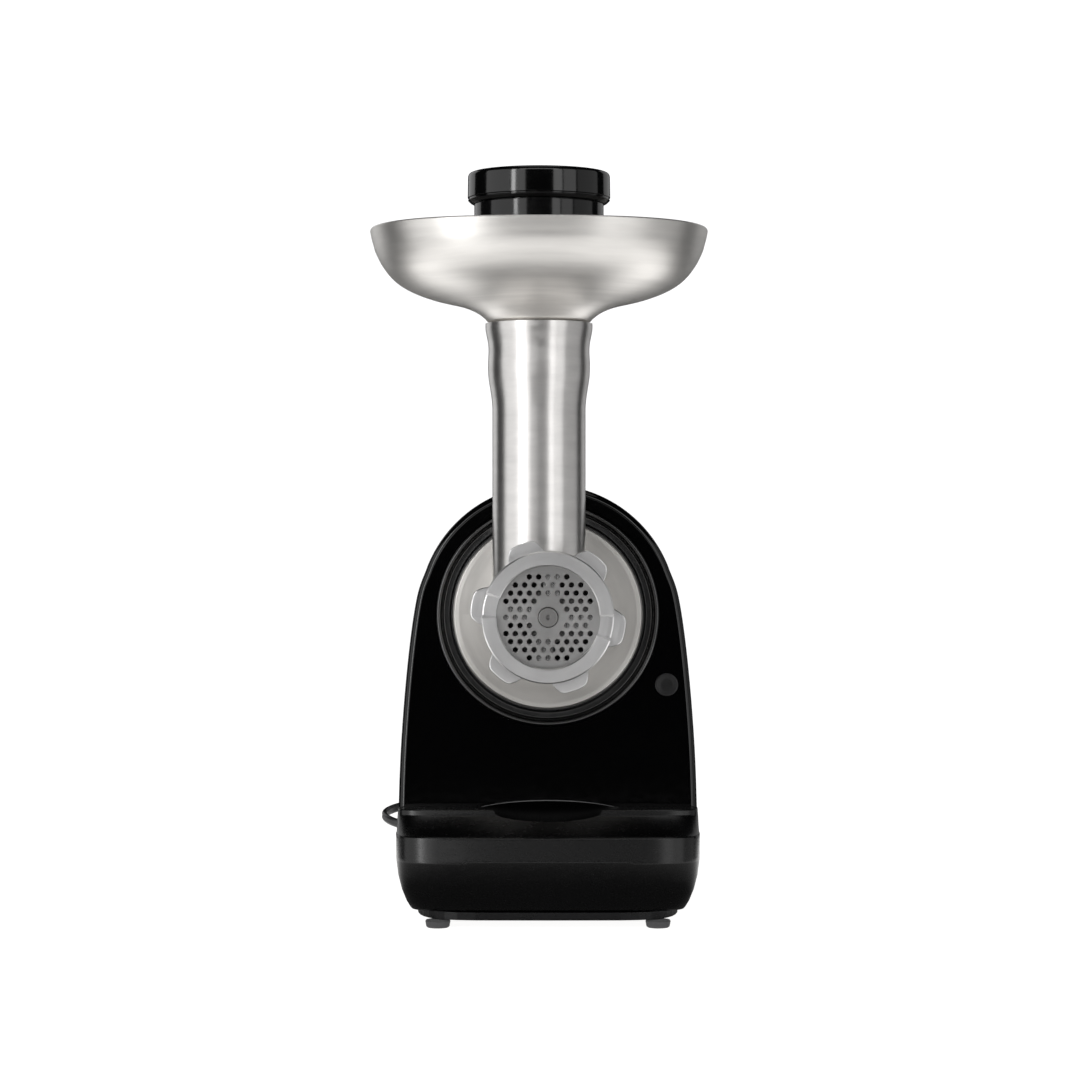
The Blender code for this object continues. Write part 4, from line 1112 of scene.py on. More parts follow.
@dataclass
class MainsCord:
    """The flat twin cord from the rear cover to its coil and plug."""

    places: Places
    width: float = 0.0050
    thickness: float = 0.0031
    waist: float = 0.16
    coil_radius: float = 0.030
    coil_turns: int = 4
    layer: float = 0.0053
    low_z: float = 0.0036
    relief_length: float = 0.028
    relief_ribs: int = 6
    plug_relief: float = 0.024
    strap: float = 0.00065
    pin_sleeve: float = 0.0100
    turn_steps: int = 40
    route: tuple[Place, ...] = (
        (-0.0360, 0.0285, 0.0410), (-0.0360, 0.0370, 0.0409), (-0.0385, 0.0490, 0.0405),
        (-0.0470, 0.0590, 0.0398), (-0.0600, 0.0635, 0.0385), (-0.0735, 0.0605, 0.0365),
        (-0.0845, 0.0520, 0.0343), (-0.0890, 0.0400, 0.0320), (-0.0845, 0.0280, 0.0295),
        (-0.0735, 0.0200, 0.0272), (-0.0600, 0.0172, 0.0262), (-0.0400, 0.0170, 0.0258),
        (-0.0200, 0.0170, 0.0250), (-0.0092, 0.0170, 0.0247),
    )

    def build(self) -> None:
        """Make the cord, its sleeve, its tie and its plug."""
        path = self.path()
        section = oval(self.thickness, self.width, 20, 2.4, self.waist)
        cord = piece("flat_mains_cord", swept(path, lambda share: section), CORD_BLACK, sharp=60)
        settle(cord, "housing", CORD_BLACK, "mains_cord", "cord_coil")
        fittings = [self.sleeve(), self.tie(), self.plug()]
        fittings += [self.pin(node) for node in ("plug_pin_left", "plug_pin_right")]

    def path(self) -> list[Place]:
        """The cord's centreline, from inside its sleeve to inside its plug.

        Returns:
            Its points.
        """
        rear = self.places.rear_y
        centre = Room.of("cord_coil").centre
        exit_x, exit_z = self.route[0][0], self.route[0][2]
        points: list[Place] = [(exit_x, rear + 0.007 * i, exit_z) for i in range(4)]
        loose = through([(x, rear + y, z) for x, y, z in self.route], 5)
        points.extend(loose)
        start_x = loose[-1][0]
        top_z = self.low_z + self.coil_turns * self.layer
        for i in range(1, 4):
            share = i / 4
            points.append((start_x + (centre.x - start_x) * share, centre.y - self.coil_radius,
                           loose[-1][2] + (top_z - loose[-1][2]) * share))
        for i in range(int((self.coil_turns + 0.5) * self.turn_steps) + 1):
            turns = i / self.turn_steps
            angle = -math.pi / 2 + math.tau * turns
            whole, part = divmod(turns, 1.0)
            drop = eased(max(0.0, part - 0.5) * 2)
            points.append((centre.x + self.coil_radius * math.cos(angle),
                           centre.y + self.coil_radius * math.sin(angle),
                           top_z - self.layer * (whole + drop)))
        tail_y = centre.y + self.coil_radius
        relief_x = Room.of("plug_body").high.x
        for i in range(1, 4):
            points.append((centre.x + (relief_x - centre.x) * i / 3, tail_y, self.low_z))
        points.extend((x, tail_y, z) for x, z in self.relief_line(relief_x)[1:])
        return points

    def relief_line(self, start_x: float) -> list[Point]:
        """The gentle rise from the table to the plug's middle.

        Args:
            start_x: Where it starts.

        Returns:
            Its points as (x, z).
        """
        climb = Room.of("plug_pin_left").centre.z - self.low_z
        return [(start_x - self.plug_relief * i / 6, self.low_z + climb * eased(i / 6))
                for i in range(7)]

    def sleeve(self) -> Piece:
        """The soft ribbed sleeve that keeps the cord from kinking at the rear cover.

        Returns:
            The sleeve.
        """
        exit_x, exit_z = self.route[0][0], self.route[0][2]
        end = self.relief_length
        profile: list[Corner] = [
            (0, -0.0040, 0), (0.0058, -0.0040, 0.0003), (0.0058, GAP, 0), (0.0076, GAP, 0.0004),
            (0.0076, 0.0018, 0.0006), (0.0060, 0.0024, 0.0004),
        ]
        for i in range(self.relief_ribs):
            start = 0.0034 + i * 0.0039
            radius = 0.0059 - 0.00032 * i
            profile += [
                (radius, start, 0.0003), (radius - 0.0001, start + 0.0026, 0.0003),
                (radius - 0.0008, start + 0.0029, 0.0002),
                (radius - 0.0009, start + 0.0036, 0.0002),
            ]
        profile += [(0.0037, end - 0.0006, 0.0004), (0.0034, end, 0.0003), (0, end, 0)]
        obj = turned("cord_sleeve", profile, 48, GREY_RUBBER, (exit_x, self.places.rear_y, exit_z),
                     REARWARD, steps=3)
        return settle(obj, "housing", GREY_RUBBER, "cord_strain_relief")

    def tie(self) -> Piece:
        """The woven strap round the coil.

        Returns:
            The strap.
        """
        room = Room.of("cord_tie")
        wide, high, half = room.size.x, room.size.z, room.size.y / 2
        outer = oval(wide, high, 72, 5.0)
        inner = oval(wide - 2 * self.strap, high - 2 * self.strap, 72, 5.0)
        rings = [[(x, y, z) for x, z in outline] for outline, y in (
            (outer, -half + 0.0003), (outer, half - 0.0003), (inner, half), (inner, -half))]
        obj = piece("coil_strap", skinned(rings, loop=True), TIE_BLACK, room.centre)
        return settle(obj, "housing", TIE_BLACK, "cord_tie")

    def plug(self) -> Piece:
        """The two-pin plug: a curved ribbed neck and a waisted flat body.

        Returns:
            The plug.
        """
        room = Room.of("plug_body")
        tail_y, neck = room.centre.y, self.relief_line(room.high.x)
        body_x = room.high.x - self.plug_relief
        rings: list[list[Place]] = []

        def station(x: float, z: float, wide: float, thick: float, power: float) -> None:
            """Add one section across the plug."""
            rings.append([(x, tail_y + a, z + b) for a, b in oval(wide, thick, 48, power)])

        for i in range(25):
            share = i / 24
            place = share * 6
            k = min(5, int(place))
            x = neck[k][0] + (neck[k + 1][0] - neck[k][0]) * (place - k)
            z = neck[k][1] + (neck[k + 1][1] - neck[k][1]) * (place - k)
            rib = 0.0005 if i % 4 in (1, 2) and 2 < i < 23 else 0.0
            station(x, z, 0.0058 + 0.0062 * share + rib, 0.0064 + 0.0030 * share + rib, 2.2)
        z = neck[-1][1]
        for depth, wide, thick, power in (
            (0.0008, 0.0150, 0.0106, 2.6), (0.0022, 0.0196, 0.0120, 3.2),
            (0.0045, 0.0236, 0.0128, 3.8), (0.0080, 0.0250, 0.0130, 4.2),
            (0.0120, 0.0252, 0.0124, 4.4), (0.0160, 0.0256, 0.0126, 4.6),
            (0.0190, 0.0260, 0.0130, 5.0), (0.0204, 0.0260, 0.0130, 5.0),
            (0.0208, 0.0257, 0.0127, 5.0), (0.0210, 0.0250, 0.0120, 5.0),
        ):
            station(body_x - depth, z, wide, thick, power)
        obj = piece("two_pin_plug", skinned(rings), GREY_RUBBER, sharp=40)
        return settle(obj, "housing", GREY_RUBBER, "plug_body")

    def pin(self, node: str) -> Piece:
        """One plug pin, sleeved at its root and bare at its rounded tip.

        Args:
            node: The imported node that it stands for.

        Returns:
            The pin.
        """
        room = Room.of(node)
        radius, length = room.size.z / 2, room.size.x
        bare, sleeve = radius - 0.00012, self.pin_sleeve
        profile = [(0, 0, 0), (radius, 0, 0), (radius, sleeve, 0.0001), (bare, sleeve + 0.0002, 0),
                   (bare, length, 0.0012), (0, length, 0)]
        origin = (room.high.x, room.centre.y, room.centre.z)
        obj = turned(f"bare_{node}", profile, 32, BRASS, origin, (0, -math.pi / 2, 0), steps=6)
        obj.data.materials.append(GREY_RUBBER.material())
        for face in obj.data.polygons:
            if face.center.z < sleeve:
                face.material_index = 1
        return settle(obj, "housing", BRASS, node)


# ---------------------------------------------------------------- body

@dataclass
class Body:
    """The arched body: panel, casing, rear cover, base and feet."""

    places: Places
    arch_radius: float = 0.0650
    arch_angle: float = math.radians(68)
    flank: tuple[Point, ...] = ((0.0657, 0.161), (0.0702, 0.129), (0.0737, 0.085),
                                (0.0752, 0.038))
    corner_width: float = 0.0173
    corner_height: float = 0.036
    floor_z: float = 0.0083
    wall: float = 0.0025
    panel_thick: float = 0.004
    casing_back: float = 0.1553
    edge: float = 0.0034
    edge_steps: int = 6
    round_over: float = 0.020
    round_steps: int = 12
    foot_steps: int = 20
    crown_steps: int = 40
    socket_radius: float = 0.0563
    button_hole: float = 0.0063
    scoop_size: Place = (0.060, 0.0065, 0.0135)
    scoop_z: float = 0.0490
    scoop_ahead: float = 0.004
    rim_half: float = 0.033
    rim_share: float = 0.788
    slot_rows: int = 5
    slot_pitch: float = 0.011
    slot_width: float = 0.060
    slot_taper: float = 0.008
    slot_height: float = 0.0034
    slot_z: float = 0.126
    cord_hole: float = 0.0062

    def build(self) -> None:
        """Make every piece of the body."""
        self.panel()
        self.casing()
        self.rear_cover()
        self.feet()

    def half_width(self, z: float) -> float:
        """Half the body's width at a height in its rounded foot."""
        drop = max(0.0, self.flank[-1][1] - z) / self.corner_height
        return self.flank[-1][0] - self.corner_width * (1 - math.sqrt(max(0.0, 1 - drop * drop)))

    def arch(self, shrink: float = 0.0) -> list[Point]:
        """The body's outline seen from the front, or one that lies inside it.

        Args:
            shrink: How far inside it lies.

        Returns:
            Points anticlockwise from the foot's right corner, as many for any shrink.
        """
        low, high = self.floor_z + shrink, self.flank[-1][1]
        heights = np.linspace(self.floor_z, high, 240)
        widths = np.array([self.half_width(z) for z in heights])
        slope = np.gradient(widths, heights)
        size = np.sqrt(1 + slope * slope)
        levels = np.linspace(low, high, self.foot_steps + 1)[:-1]
        reach = np.interp(levels, heights + shrink * slope / size, widths - shrink / size)
        corner = [(float(x), float(z)) for x, z in zip(reach, levels)]
        angles = [self.arch_angle * (1 - i / self.crown_steps)
                  for i in range(self.crown_steps + 1)]
        crown = [(math.sin(angle), math.cos(angle)) for angle in angles]
        first_x, first_z = crown[0]
        start = (self.arch_radius * first_x, self.places.head_z + self.arch_radius * first_z)
        curve = [Vector(point) for point in through((*reversed(self.flank), start), 8)]
        flank = []
        for i, here in enumerate(curve[:-1]):
            along = (curve[i + 1] - curve[max(0, i - 1)]).normalized()
            moved = here + shrink * Vector((-along.y, along.x)) if i else here - Vector((shrink, 0))
            flank.append((moved.x, moved.y))
        radius = self.arch_radius - shrink
        top = [(radius * x, self.places.head_z + radius * z) for x, z in crown]
        right = corner + flank + top
        return ([(self.places.body_x + x, z) for x, z in right]
                + [(self.places.body_x - x, z) for x, z in reversed(right[:-1])])

    def at(self, outline: Sequence[Point], back: float) -> list[Place]:
        """An outline in the plane at a distance behind the panel's face."""
        return [(x, self.places.panel_y + back, z) for x, z in outline]

    def scoop(self, size: Place, z: float) -> Piece:
        """The finger scoop's hollow, to cut with.

        Args:
            size: How far it reaches from its middle along X, Y and Z.
            z: Its middle's height.

        Returns:
            The cutter.
        """
        bm = ball(1.0, 48)
        bmesh.ops.scale(bm, vec=size, verts=bm.verts)
        return piece("cutter", bm, origin=(self.places.body_x,
                                           self.places.panel_y - self.scoop_ahead, z))

    def panel(self) -> None:
        """The polished arched panel, with its rounded edge and its openings."""
        rings = []
        for i in range(self.edge_steps + 1):
            angle = math.pi / 2 * i / self.edge_steps
            rings.append(self.at(self.arch(self.edge * (1 - math.sin(angle))),
                                 self.edge * (1 - math.cos(angle))))
        rings.append(self.at(self.arch(), self.panel_thick))
        obj = piece("polished_front_panel", skinned(rings), PANEL_BLACK)
        button, tray = Room.of("release_button").centre, Room.of("drawer_tray")
        x, y = self.places.body_x, self.places.panel_y + self.panel_thick / 2
        cut(obj, [
            rod(self.socket_radius, 0.02, (x, y, self.places.head_z), FORWARD, 144),
            rod(self.button_hole, 0.02, (button.x, y, button.z), FORWARD, 48),
            slab((tray.size.x + 0.002, 0.03, tray.size.z + 0.0012), (x, y, tray.centre.z)),
            self.scoop(self.scoop_size, self.scoop_z),
        ])
        settle(obj, "housing", PANEL_BLACK, "front_panel")
        rim = piece("scoop_rim", self.scoop_rim(), SOCKET_BLACK)
        settle(rim, "housing", SOCKET_BLACK)

    def scoop_rim(self) -> Mesh:
        """The fine raised rim over the scoop, thickest in its middle.

        Returns:
            The closed mesh.
        """
        half_wide, _, half_high = self.scoop_size
        line = []
        for i in range(49):
            across = self.rim_half * (2 * i / 48 - 1)
            rise = half_high * math.sqrt(self.rim_share ** 2 - (across / half_wide) ** 2)
            line.append((self.places.body_x + across, self.places.panel_y, self.scoop_z + rise))
        return swept(line, lambda share: circle(0.00025 + 0.00035 * math.sin(math.pi * share), 10))

    def casing(self) -> None:
        """The middle of the body, with the switch's window and a fine groove at its back."""
        front, back = self.panel_thick + GAP, self.casing_back
        rings = [self.at(self.arch(shrink), depth) for shrink, depth in (
            (0.0005, front), (0.0, front + 0.0006), (0.0, back - 0.0042), (0.0007, back - 0.0038),
            (0.0007, back - 0.0030), (0.0, back - 0.0026), (0.0, back - 0.0006), (0.0005, back),
            (self.wall, back), (self.wall, front))]
        obj = piece("satin_casing", skinned(rings, loop=True), CASE_BLACK)
        switch = Room.of("switch_body")
        window = slab((0.02, switch.size.y + 2 * GAP, switch.size.z + 2 * GAP),
                      (switch.high.x, switch.centre.y, switch.centre.z))
        cut(obj, [window])
        settle(obj, "housing", CASE_BLACK, "casing")

    def rear_cover(self) -> None:
        """The hollow rounded rear cover, with its air slots and the cord's hole."""
        start = self.casing_back + GAP
        bulge = self.places.rear_y - self.places.panel_y - start
        lip = 0.0005
        outer, inner = [self.at(self.arch(lip), start)], []
        for i in range(self.round_steps + 1):
            angle = math.pi / 2 * i / self.round_steps
            for wall, loops in ((0.0, outer), (self.wall, inner)):
                shrink = wall + self.round_over * (1 - math.cos(angle)) * (1 - wall / bulge)
                depth = start + (bulge - wall) * math.sin(angle)
                if loops is outer and i == 0:
                    depth += lip
                loops.append(self.at(self.arch(shrink), depth))
        obj = piece("satin_rear_cover", skinned([*reversed(inner), *outer]), CASE_BLACK)
        middle, rear = self.slot_rows // 2, self.places.rear_y
        slots = [
            slab((self.slot_width - self.slot_taper * abs(row - middle), 0.03, self.slot_height),
                 (self.places.body_x, rear, self.slot_z + self.slot_pitch * row), 0.0014)
            for row in range(self.slot_rows)
        ]
        relief = Room.of("cord_strain_relief").centre
        hole = rod(self.cord_hole, 0.03, (relief.x, rear, relief.z), FORWARD, 48)
        cut(obj, [*slots, hole])
        settle(obj, "housing", CASE_BLACK, "rear_cover")

    def feet(self) -> None:
        """Four soft feet with a ring moulded in each sole."""
        for node in ("foot_front_left", "foot_front_right", "foot_rear_left", "foot_rear_right"):
            room = Room.of(node)
            radius, top = room.size.x / 2, room.high.z
            profile = [
                (0, top, 0), (radius - 0.0004, top, 0.0003), (radius, top - 0.0007, 0.0003),
                (radius - 0.0005, 0.0006, 0.0006), (radius - 0.0013, 0, 0.0005),
                (0.0034, 0, 0.0002), (0.0031, 0.0006, 0.0002), (0.0024, 0.0006, 0.0002),
                (0.0021, 0, 0.0002), (0, 0, 0),
            ]
            obj = turned(f"soft_{node}", profile, 48, FOOT_RUBBER,
                         (room.centre.x, room.centre.y, 0), steps=4)
            settle(obj, "housing", FOOT_RUBBER, node)


# ---------------------------------------------------------------- drawer

@dataclass
class AccessoryDrawer:
    """The drawer in the foot: its rounded front with a coved ledge, and its tray."""

    places: Places
    body: Body
    band: tuple[Point, ...] = (
        (0.0335, 0.0083), (0.0365, 0.0093), (0.0394, 0.0124), (0.0415, 0.0180),
        (0.0428, 0.0250), (0.0436, 0.0322), (0.0437, 0.0332), (0.0433, 0.0344),
        (0.0419, 0.0437), (0.0416, 0.0446), (0.0409, 0.0451),
    )
    cove: tuple[Point, ...] = (
        (0.0402, 0.0447), (0.0398, 0.0444), (0.0380, 0.0447), (0.0340, 0.0462),
        (0.0290, 0.0486), (0.0240, 0.0515), (0.0212, 0.0534), (0.0206, 0.0540),
        (0.0204, 0.0548), (0.0202, 0.0562), (0.0196, 0.0567),
    )
    power: float = 0.36
    sides: int = 96
    rear_rise: float = 0.00003
    tuck: float = 0.00006
    wall: float = 0.0018
    hollow: Place = (0.1120, 0.054, 0.0290)
    hollow_ahead: float = 0.0070
    hollow_rise: float = 0.0146
    scoop_size: Place = (0.036, 0.024, 0.0090)
    scoop_z: float = 0.0560

    def build(self) -> None:
        """Make the drawer's front and dress its tray."""
        self.front()
        self.tray()

    def ring(self, ahead: float, z: float, rear_z: float, inside: float) -> list[Place]:
        """A loop of the drawer's front.

        Args:
            ahead: How far it reaches ahead of the panel.
            z: Its height at its front.
            rear_z: Its height against the panel, which never falls from one loop to the next.
            inside: How far its sides lie inside the body's outline.

        Returns:
            The loop's points, the last and the first against the panel.
        """
        half = self.body.half_width(z) - inside
        x, y = self.places.body_x, self.places.panel_y - GAP
        loop: list[Place] = [(x + half, y, rear_z)]
        for i in range(1, self.sides):
            angle = math.pi * i / self.sides
            c, s = math.cos(angle), math.sin(angle)
            loop.append((x + half * math.copysign(abs(c) ** self.power, c),
                         y - (ahead - GAP) * s ** self.power, rear_z + (z - rear_z) * s))
        loop.append((x - half, y, rear_z))
        return loop

    def front(self) -> None:
        """The drawer's front: a tilted band over a rounded chin, with a cove behind its edge."""
        rings = [self.ring(ahead, z, z, 0.0) for ahead, z in self.band]
        rear_z = self.band[-1][1]
        for i, (ahead, z) in enumerate(self.cove):
            rear_z = max(rear_z + self.rear_rise, z)
            rings.append(self.ring(ahead, z, rear_z, self.tuck * (i + 1)))
        obj = piece("drawer_front_moulding", skinned(rings), DRAWER_BLACK)
        middle = (self.places.body_x, self.places.panel_y - self.hollow_ahead,
                  Room.of("drawer_tray").low.z + self.wall + self.hollow_rise)
        hollow = slab(self.hollow, middle, 0.002)
        cut(obj, [hollow, self.body.scoop(self.scoop_size, self.scoop_z)], 24)
        settle(obj, "drawer", DRAWER_BLACK, "drawer_front")

    def tray(self) -> None:
        """The drawer's box, with rounded corners and a rim."""
        room = Room.of("drawer_tray")
        size, centre = room.size, room.centre
        obj = slab(size, centre, 0.0012)
        obj.name = "drawer_box"
        obj.data.materials.append(DRAWER_BLACK.material())
        inside = slab((size.x - 2 * self.wall, size.y, size.z),
                      (centre.x, centre.y - self.wall, centre.z + self.wall), 0.003)
        cut(obj, [inside])
        settle(obj, "drawer", DRAWER_BLACK, "drawer_tray")


# ---------------------------------------------------------------- socket and release

@dataclass
class HeadSocket:
    """The round socket in the panel, and the button that frees the head."""

    places: Places
    outside: float = 0.0560
    back: float = -0.0145

    def build(self) -> None:
        """Make the socket and the release button."""
        self.socket()
        self.button()

    def socket(self) -> None:
        """The polished socket ring, with its raised crest and its shadow groove."""
        profile = [
            (0.0530, -0.0004, 0.0006), (0.0539, 0.0018, 0.0012), (0.0552, 0.0018, 0.0011),
            (self.outside, -0.0002, 0.0003), (self.outside, self.back, 0),
            (0.0535, self.back, 0), (0.0535, -0.0080, 0), (0.0350, -0.0080, 0),
            (0.0350, self.back, 0), (0.0142, self.back, 0), (0.0142, -0.0122, 0),
            (0.0318, -0.0122, 0.0004), (0.0318, -0.0030, 0.0004), (0.0482, -0.0030, 0.0003),
            (0.0492, -0.0052, 0.0008), (0.0524, -0.0052, 0.0010),
        ]
        obj = turned("polished_socket", profile, 144, SOCKET_BLACK, self.places.on_head(),
                     FORWARD, loop=True)
        settle(obj, "housing", SOCKET_BLACK, "head_socket")

    def button(self) -> None:
        """The dished round button on its stem."""
        room = Room.of("release_button")
        radius, stem = room.size.x / 2, 0.0028
        profile = [
            (0, 0.0000, 0), (0.0030, 0.0002, 0.002), (radius - 0.0010, 0.0006, 0.0004),
            (radius - 0.0002, 0.0004, 0.0004), (radius, -0.0008, 0.0004),
            (radius, -0.0060, 0.0002), (stem, -0.0060, 0.0002), (stem, -0.0150, 0.0003),
            (0, -0.0150, 0),
        ]
        obj = turned("dished_button", profile, 64, BUTTON_BLACK,
                     (room.centre.x, self.places.panel_y, room.centre.z), FORWARD)
        settle(obj, "release", BUTTON_BLACK, "release_button")


# ---------------------------------------------------------------- grinding head

@dataclass
class GrindingHead:
    """The barrel with its feed tube, and the flange, nut, plate and feed screw on it."""

    places: Places
    barrel_radius: float = 0.0300
    thread_radius: float = 0.0290
    barrel_ahead: float = 0.0585
    bore: float = 0.0263
    nut_back: float = 0.0495
    nut_front: float = 0.0615
    nut_radius: float = 0.0319
    lug_radius: float = 0.0376
    lug_count: int = 6
    lug_angle: float = math.radians(-10)
    lug_thick: float = 0.0080
    lug_flat: float = math.radians(10.5)
    lug_foot: float = math.radians(17)
    lug_fall: float = 0.0009
    valley: float = 0.00012
    soft: float = 0.0007
    nut_bore: float = 0.0293
    nut_lip: float = 0.0248
    notch_angles: tuple[float, ...] = (math.radians(169), math.radians(-9))
    notch_half: float = 0.0058
    notch_slope: float = 0.022
    notch_depth: float = 0.0037
    disc_radius: float = 0.0475
    plate_radius: float = 0.0260
    plate_thick: float = 0.005
    plate_pitch: float = 0.0045
    plate_hole: float = 0.00135
    hole_band: Point = (2.0, 5.0)
    pin_radius: float = 0.0046
    bead: float = 0.0011
    bead_radius: float = 0.0232
    saddle_reach: float = 0.0283
    tube_bore: float = 0.0215
    tube: tuple[Point, ...] = (
        (0.0263, 0.2963), (0.0263, 0.2935), (0.0258, 0.2905), (0.0251, 0.2870),
        (0.0248, 0.2835), (0.0249, 0.2800), (0.02505, 0.2770), (0.0250, 0.2725),
        (0.0247, 0.2687), (0.0240, 0.2643), (0.0233, 0.2595), (0.0229, 0.2550),
    )
    screw_start: float = 0.0065
    screw_end: float = 0.0485
    screw_pitch: float = 0.021
    flight: float = 0.0255
    root: float = 0.0085
    root_growth: float = 0.0045

    def build(self) -> None:
        """Make every piece of the head."""
        self.barrel()
        self.flange()
        self.ring_nut()
        self.plate()
        self.screw()

    def saddle(self, x: float, reach: float) -> float:
        """The barrel's height over a point to the right of the feed tube's axis.

        Args:
            x: How far to the right of the feed tube's axis.
            reach: The barrel's radius.

        Returns:
            The height.
        """
        across = self.places.feed_x + x - self.places.body_x
        return self.places.head_z + math.sqrt(max(0.0, reach * reach - across * across))

    def barrel(self) -> None:
        """The barrel and the feed tube, with the weld where they meet."""
        feed_y, sides = self.places.feed_y, 128
        (collar, top), (shank, _) = self.tube[0], self.tube[-1]
        outer = softened([(r, z, 0.0009 if i == 0 else 0) for i, (r, z) in enumerate(
            [(collar - 0.0006, top), *through(self.tube, 4)])])
        outer += [(shank, z) for z in (0.250, 0.240, 0.225, 0.210, 0.195, 0.185)]
        inner = [(self.tube_bore, 0.185), (self.tube_bore, 0.264), (0.0236, 0.275),
                 (0.0236, 0.2958), (0.0240, top)]
        rings = [[(x, y, z) for x, y in circle(r, sides)] for r, z in outer]
        rings += [[(x, y, self.saddle(x, self.saddle_reach)) for x, y in circle(r, sides)]
                  for r in (shank, self.tube_bore)]
        rings += [[(x, y, z) for x, y in circle(r, sides)] for r, z in inner]
        bm = skinned(rings, loop=True)
        merge(bm, self.weld())
        offset = (self.places.body_x - self.places.feed_x, self.places.panel_y - feed_y,
                  self.places.head_z)
        turn = Matrix.Translation(offset) @ Euler(FORWARD).to_matrix().to_4x4()
        merge(bm, lathe(softened(self.barrel_profile(), closed=True), sides, loop=True), turn)
        obj = piece("head_casting", bm, TUBE_STEEL, (self.places.feed_x, feed_y, 0))
        settle(obj, "head", TUBE_STEEL, "grinder_head")

    def barrel_profile(self) -> list[Corner]:
        """The barrel's closed section, stepped down to its thread.

        Returns:
            Its corners as (radius, distance ahead of the panel, rounding).
        """
        back, bottom, eye = -0.0115, 0.0040, 0.0096
        return [
            (eye, back, 0), (self.barrel_radius - 0.0004, back, 0.0003),
            (self.barrel_radius, back + 0.0004, 0),
            (self.barrel_radius, self.nut_back - 0.0015, 0.0003),
            (self.thread_radius, self.nut_back - 0.0006, 0),
            (self.thread_radius, self.barrel_ahead - 0.0006, 0),
            (self.thread_radius - 0.0006, self.barrel_ahead, 0), (self.bore, self.barrel_ahead, 0),
            (self.bore, bottom, 0), (eye, bottom, 0),
        ]

    def weld(self) -> Mesh:
        """The welded bead where the feed tube meets the barrel.

        Returns:
            The closed mesh.
        """
        reach = self.barrel_radius + 0.0002
        line = [Vector((x, y, self.saddle(x, reach))) for x, y in circle(self.bead_radius, 96)]
        loops = []
        for i, here in enumerate(line):
            along = (line[(i + 1) % len(line)] - line[i - 1]).normalized()
            side = along.cross(Vector((here.x, here.y, 0)).normalized()).normalized()
            up = side.cross(along)
            loops.append([tuple(here + self.bead * (side * a + up * b))
                          for a, b in circle(1.0, 10)])
        return skinned(loops, loop=True)

    def flange(self) -> None:
        """The turned disc at the back of the barrel."""
        radius, back = self.disc_radius, -0.0024
        profile = [
            (0.0303, back, 0), (0.0303, 0.0007, 0.0003), (0.0312, 0.0010, 0.0002),
            (radius - 0.0030, 0.0010, 0.0001), (radius - 0.0009, 0.0008, 0.0005),
            (radius, -0.0002, 0.0005), (radius, back, 0),
        ]
        obj = turned("turned_flange", profile, 144, FLANGE_STEEL, self.places.on_head(), FORWARD,
                     loop=True)
        settle(obj, "head", FLANGE_STEEL, "head_flange")

    def lug_reach(self, angle: float) -> float:
        """How far the nut reaches out, through its lugs and the valleys between.

        Args:
            angle: Where round the nut.

        Returns:
            The radius there.
        """
        step = math.tau / self.lug_count
        away = abs((angle - self.lug_angle + step / 2) % step - step / 2)
        valley, shoulder = self.nut_radius + self.valley, self.lug_radius - self.lug_fall
        if away <= self.lug_flat:
            return self.lug_radius - self.lug_fall * (away / self.lug_flat) ** 6
        if away >= self.lug_foot:
            return valley
        share = (away - self.lug_flat) / (self.lug_foot - self.lug_flat)
        return shoulder + (valley - shoulder) * share ** 1.25

    def in_notch(self, angle: float) -> float:
        """How far into one of the lip's notches an angle lies.

        Args:
            angle: Where round the nut.

        Returns:
            From 0 on the lip to 1 on the notch's floor.
        """
        away = min(abs((angle - middle + math.pi) % math.tau - math.pi)
                   for middle in self.notch_angles)
        inside = self.notch_half / self.nut_radius - away
        return min(1.0, max(0.0, 0.5 + inside / (2 * self.notch_slope)))

    def nut_angles(self) -> list[float]:
        """The angles of the nut's sections: every degree, and more at the notches' sides.

        Returns:
            The angles in order.
        """
        angles = [math.tau * i / 360 for i in range(360)]
        for middle in self.notch_angles:
            for side in (-1, 1):
                edge = middle + side * self.notch_half / self.nut_radius
                angles += [(edge - share * self.notch_slope) % math.tau
                           for share in (-0.999, 0.0, 0.999)]
        return sorted(angles)

    def nut_section(self, angle: float) -> list[Point]:
        """The nut's closed section at an angle.

        Args:
            angle: Where round the nut.

        Returns:
            Its points as (radius, distance ahead of the panel).
        """
        reach, low, soft = self.lug_reach(angle), self.in_notch(angle), self.soft
        back, top, seat = self.nut_back, self.nut_back + self.lug_thick, self.barrel_ahead + GAP
        front = self.nut_front - self.notch_depth * low
        wall = self.nut_radius - 0.0002 * low
        lip = self.nut_lip + 0.0003 * low
        return [
            (self.nut_bore, back + 0.0004), (self.nut_bore + 0.0004, back),
            (reach - soft, back), (reach, back + soft), (reach, top - soft),
            (reach - 0.3 * soft, top - 0.3 * soft), (reach - soft, top),
            (min(reach - soft - 0.0001, wall), top), (wall, max(top, front - 0.0006)),
            (wall - 0.0006, front), (lip + 0.0005, front), (lip, front - 0.0005),
            (lip, seat), (self.nut_bore, seat),
        ]

    def ring_nut(self) -> None:
        """The screwed ring: six lugs, a raised lip over the plate, and two notches in the lip."""
        angles = self.nut_angles()
        rings = [
            [(radius * math.cos(angle), radius * math.sin(angle), ahead)
             for angle, (radius, ahead) in zip(angles, ring)]
            for ring in zip(*[self.nut_section(angle) for angle in angles])
        ]
        obj = piece("lugged_ring_nut", skinned(rings, loop=True), NUT_STEEL,
                    self.places.on_head(), FORWARD, 26)
        settle(obj, "ring_nut", NUT_STEEL, "ring_nut")

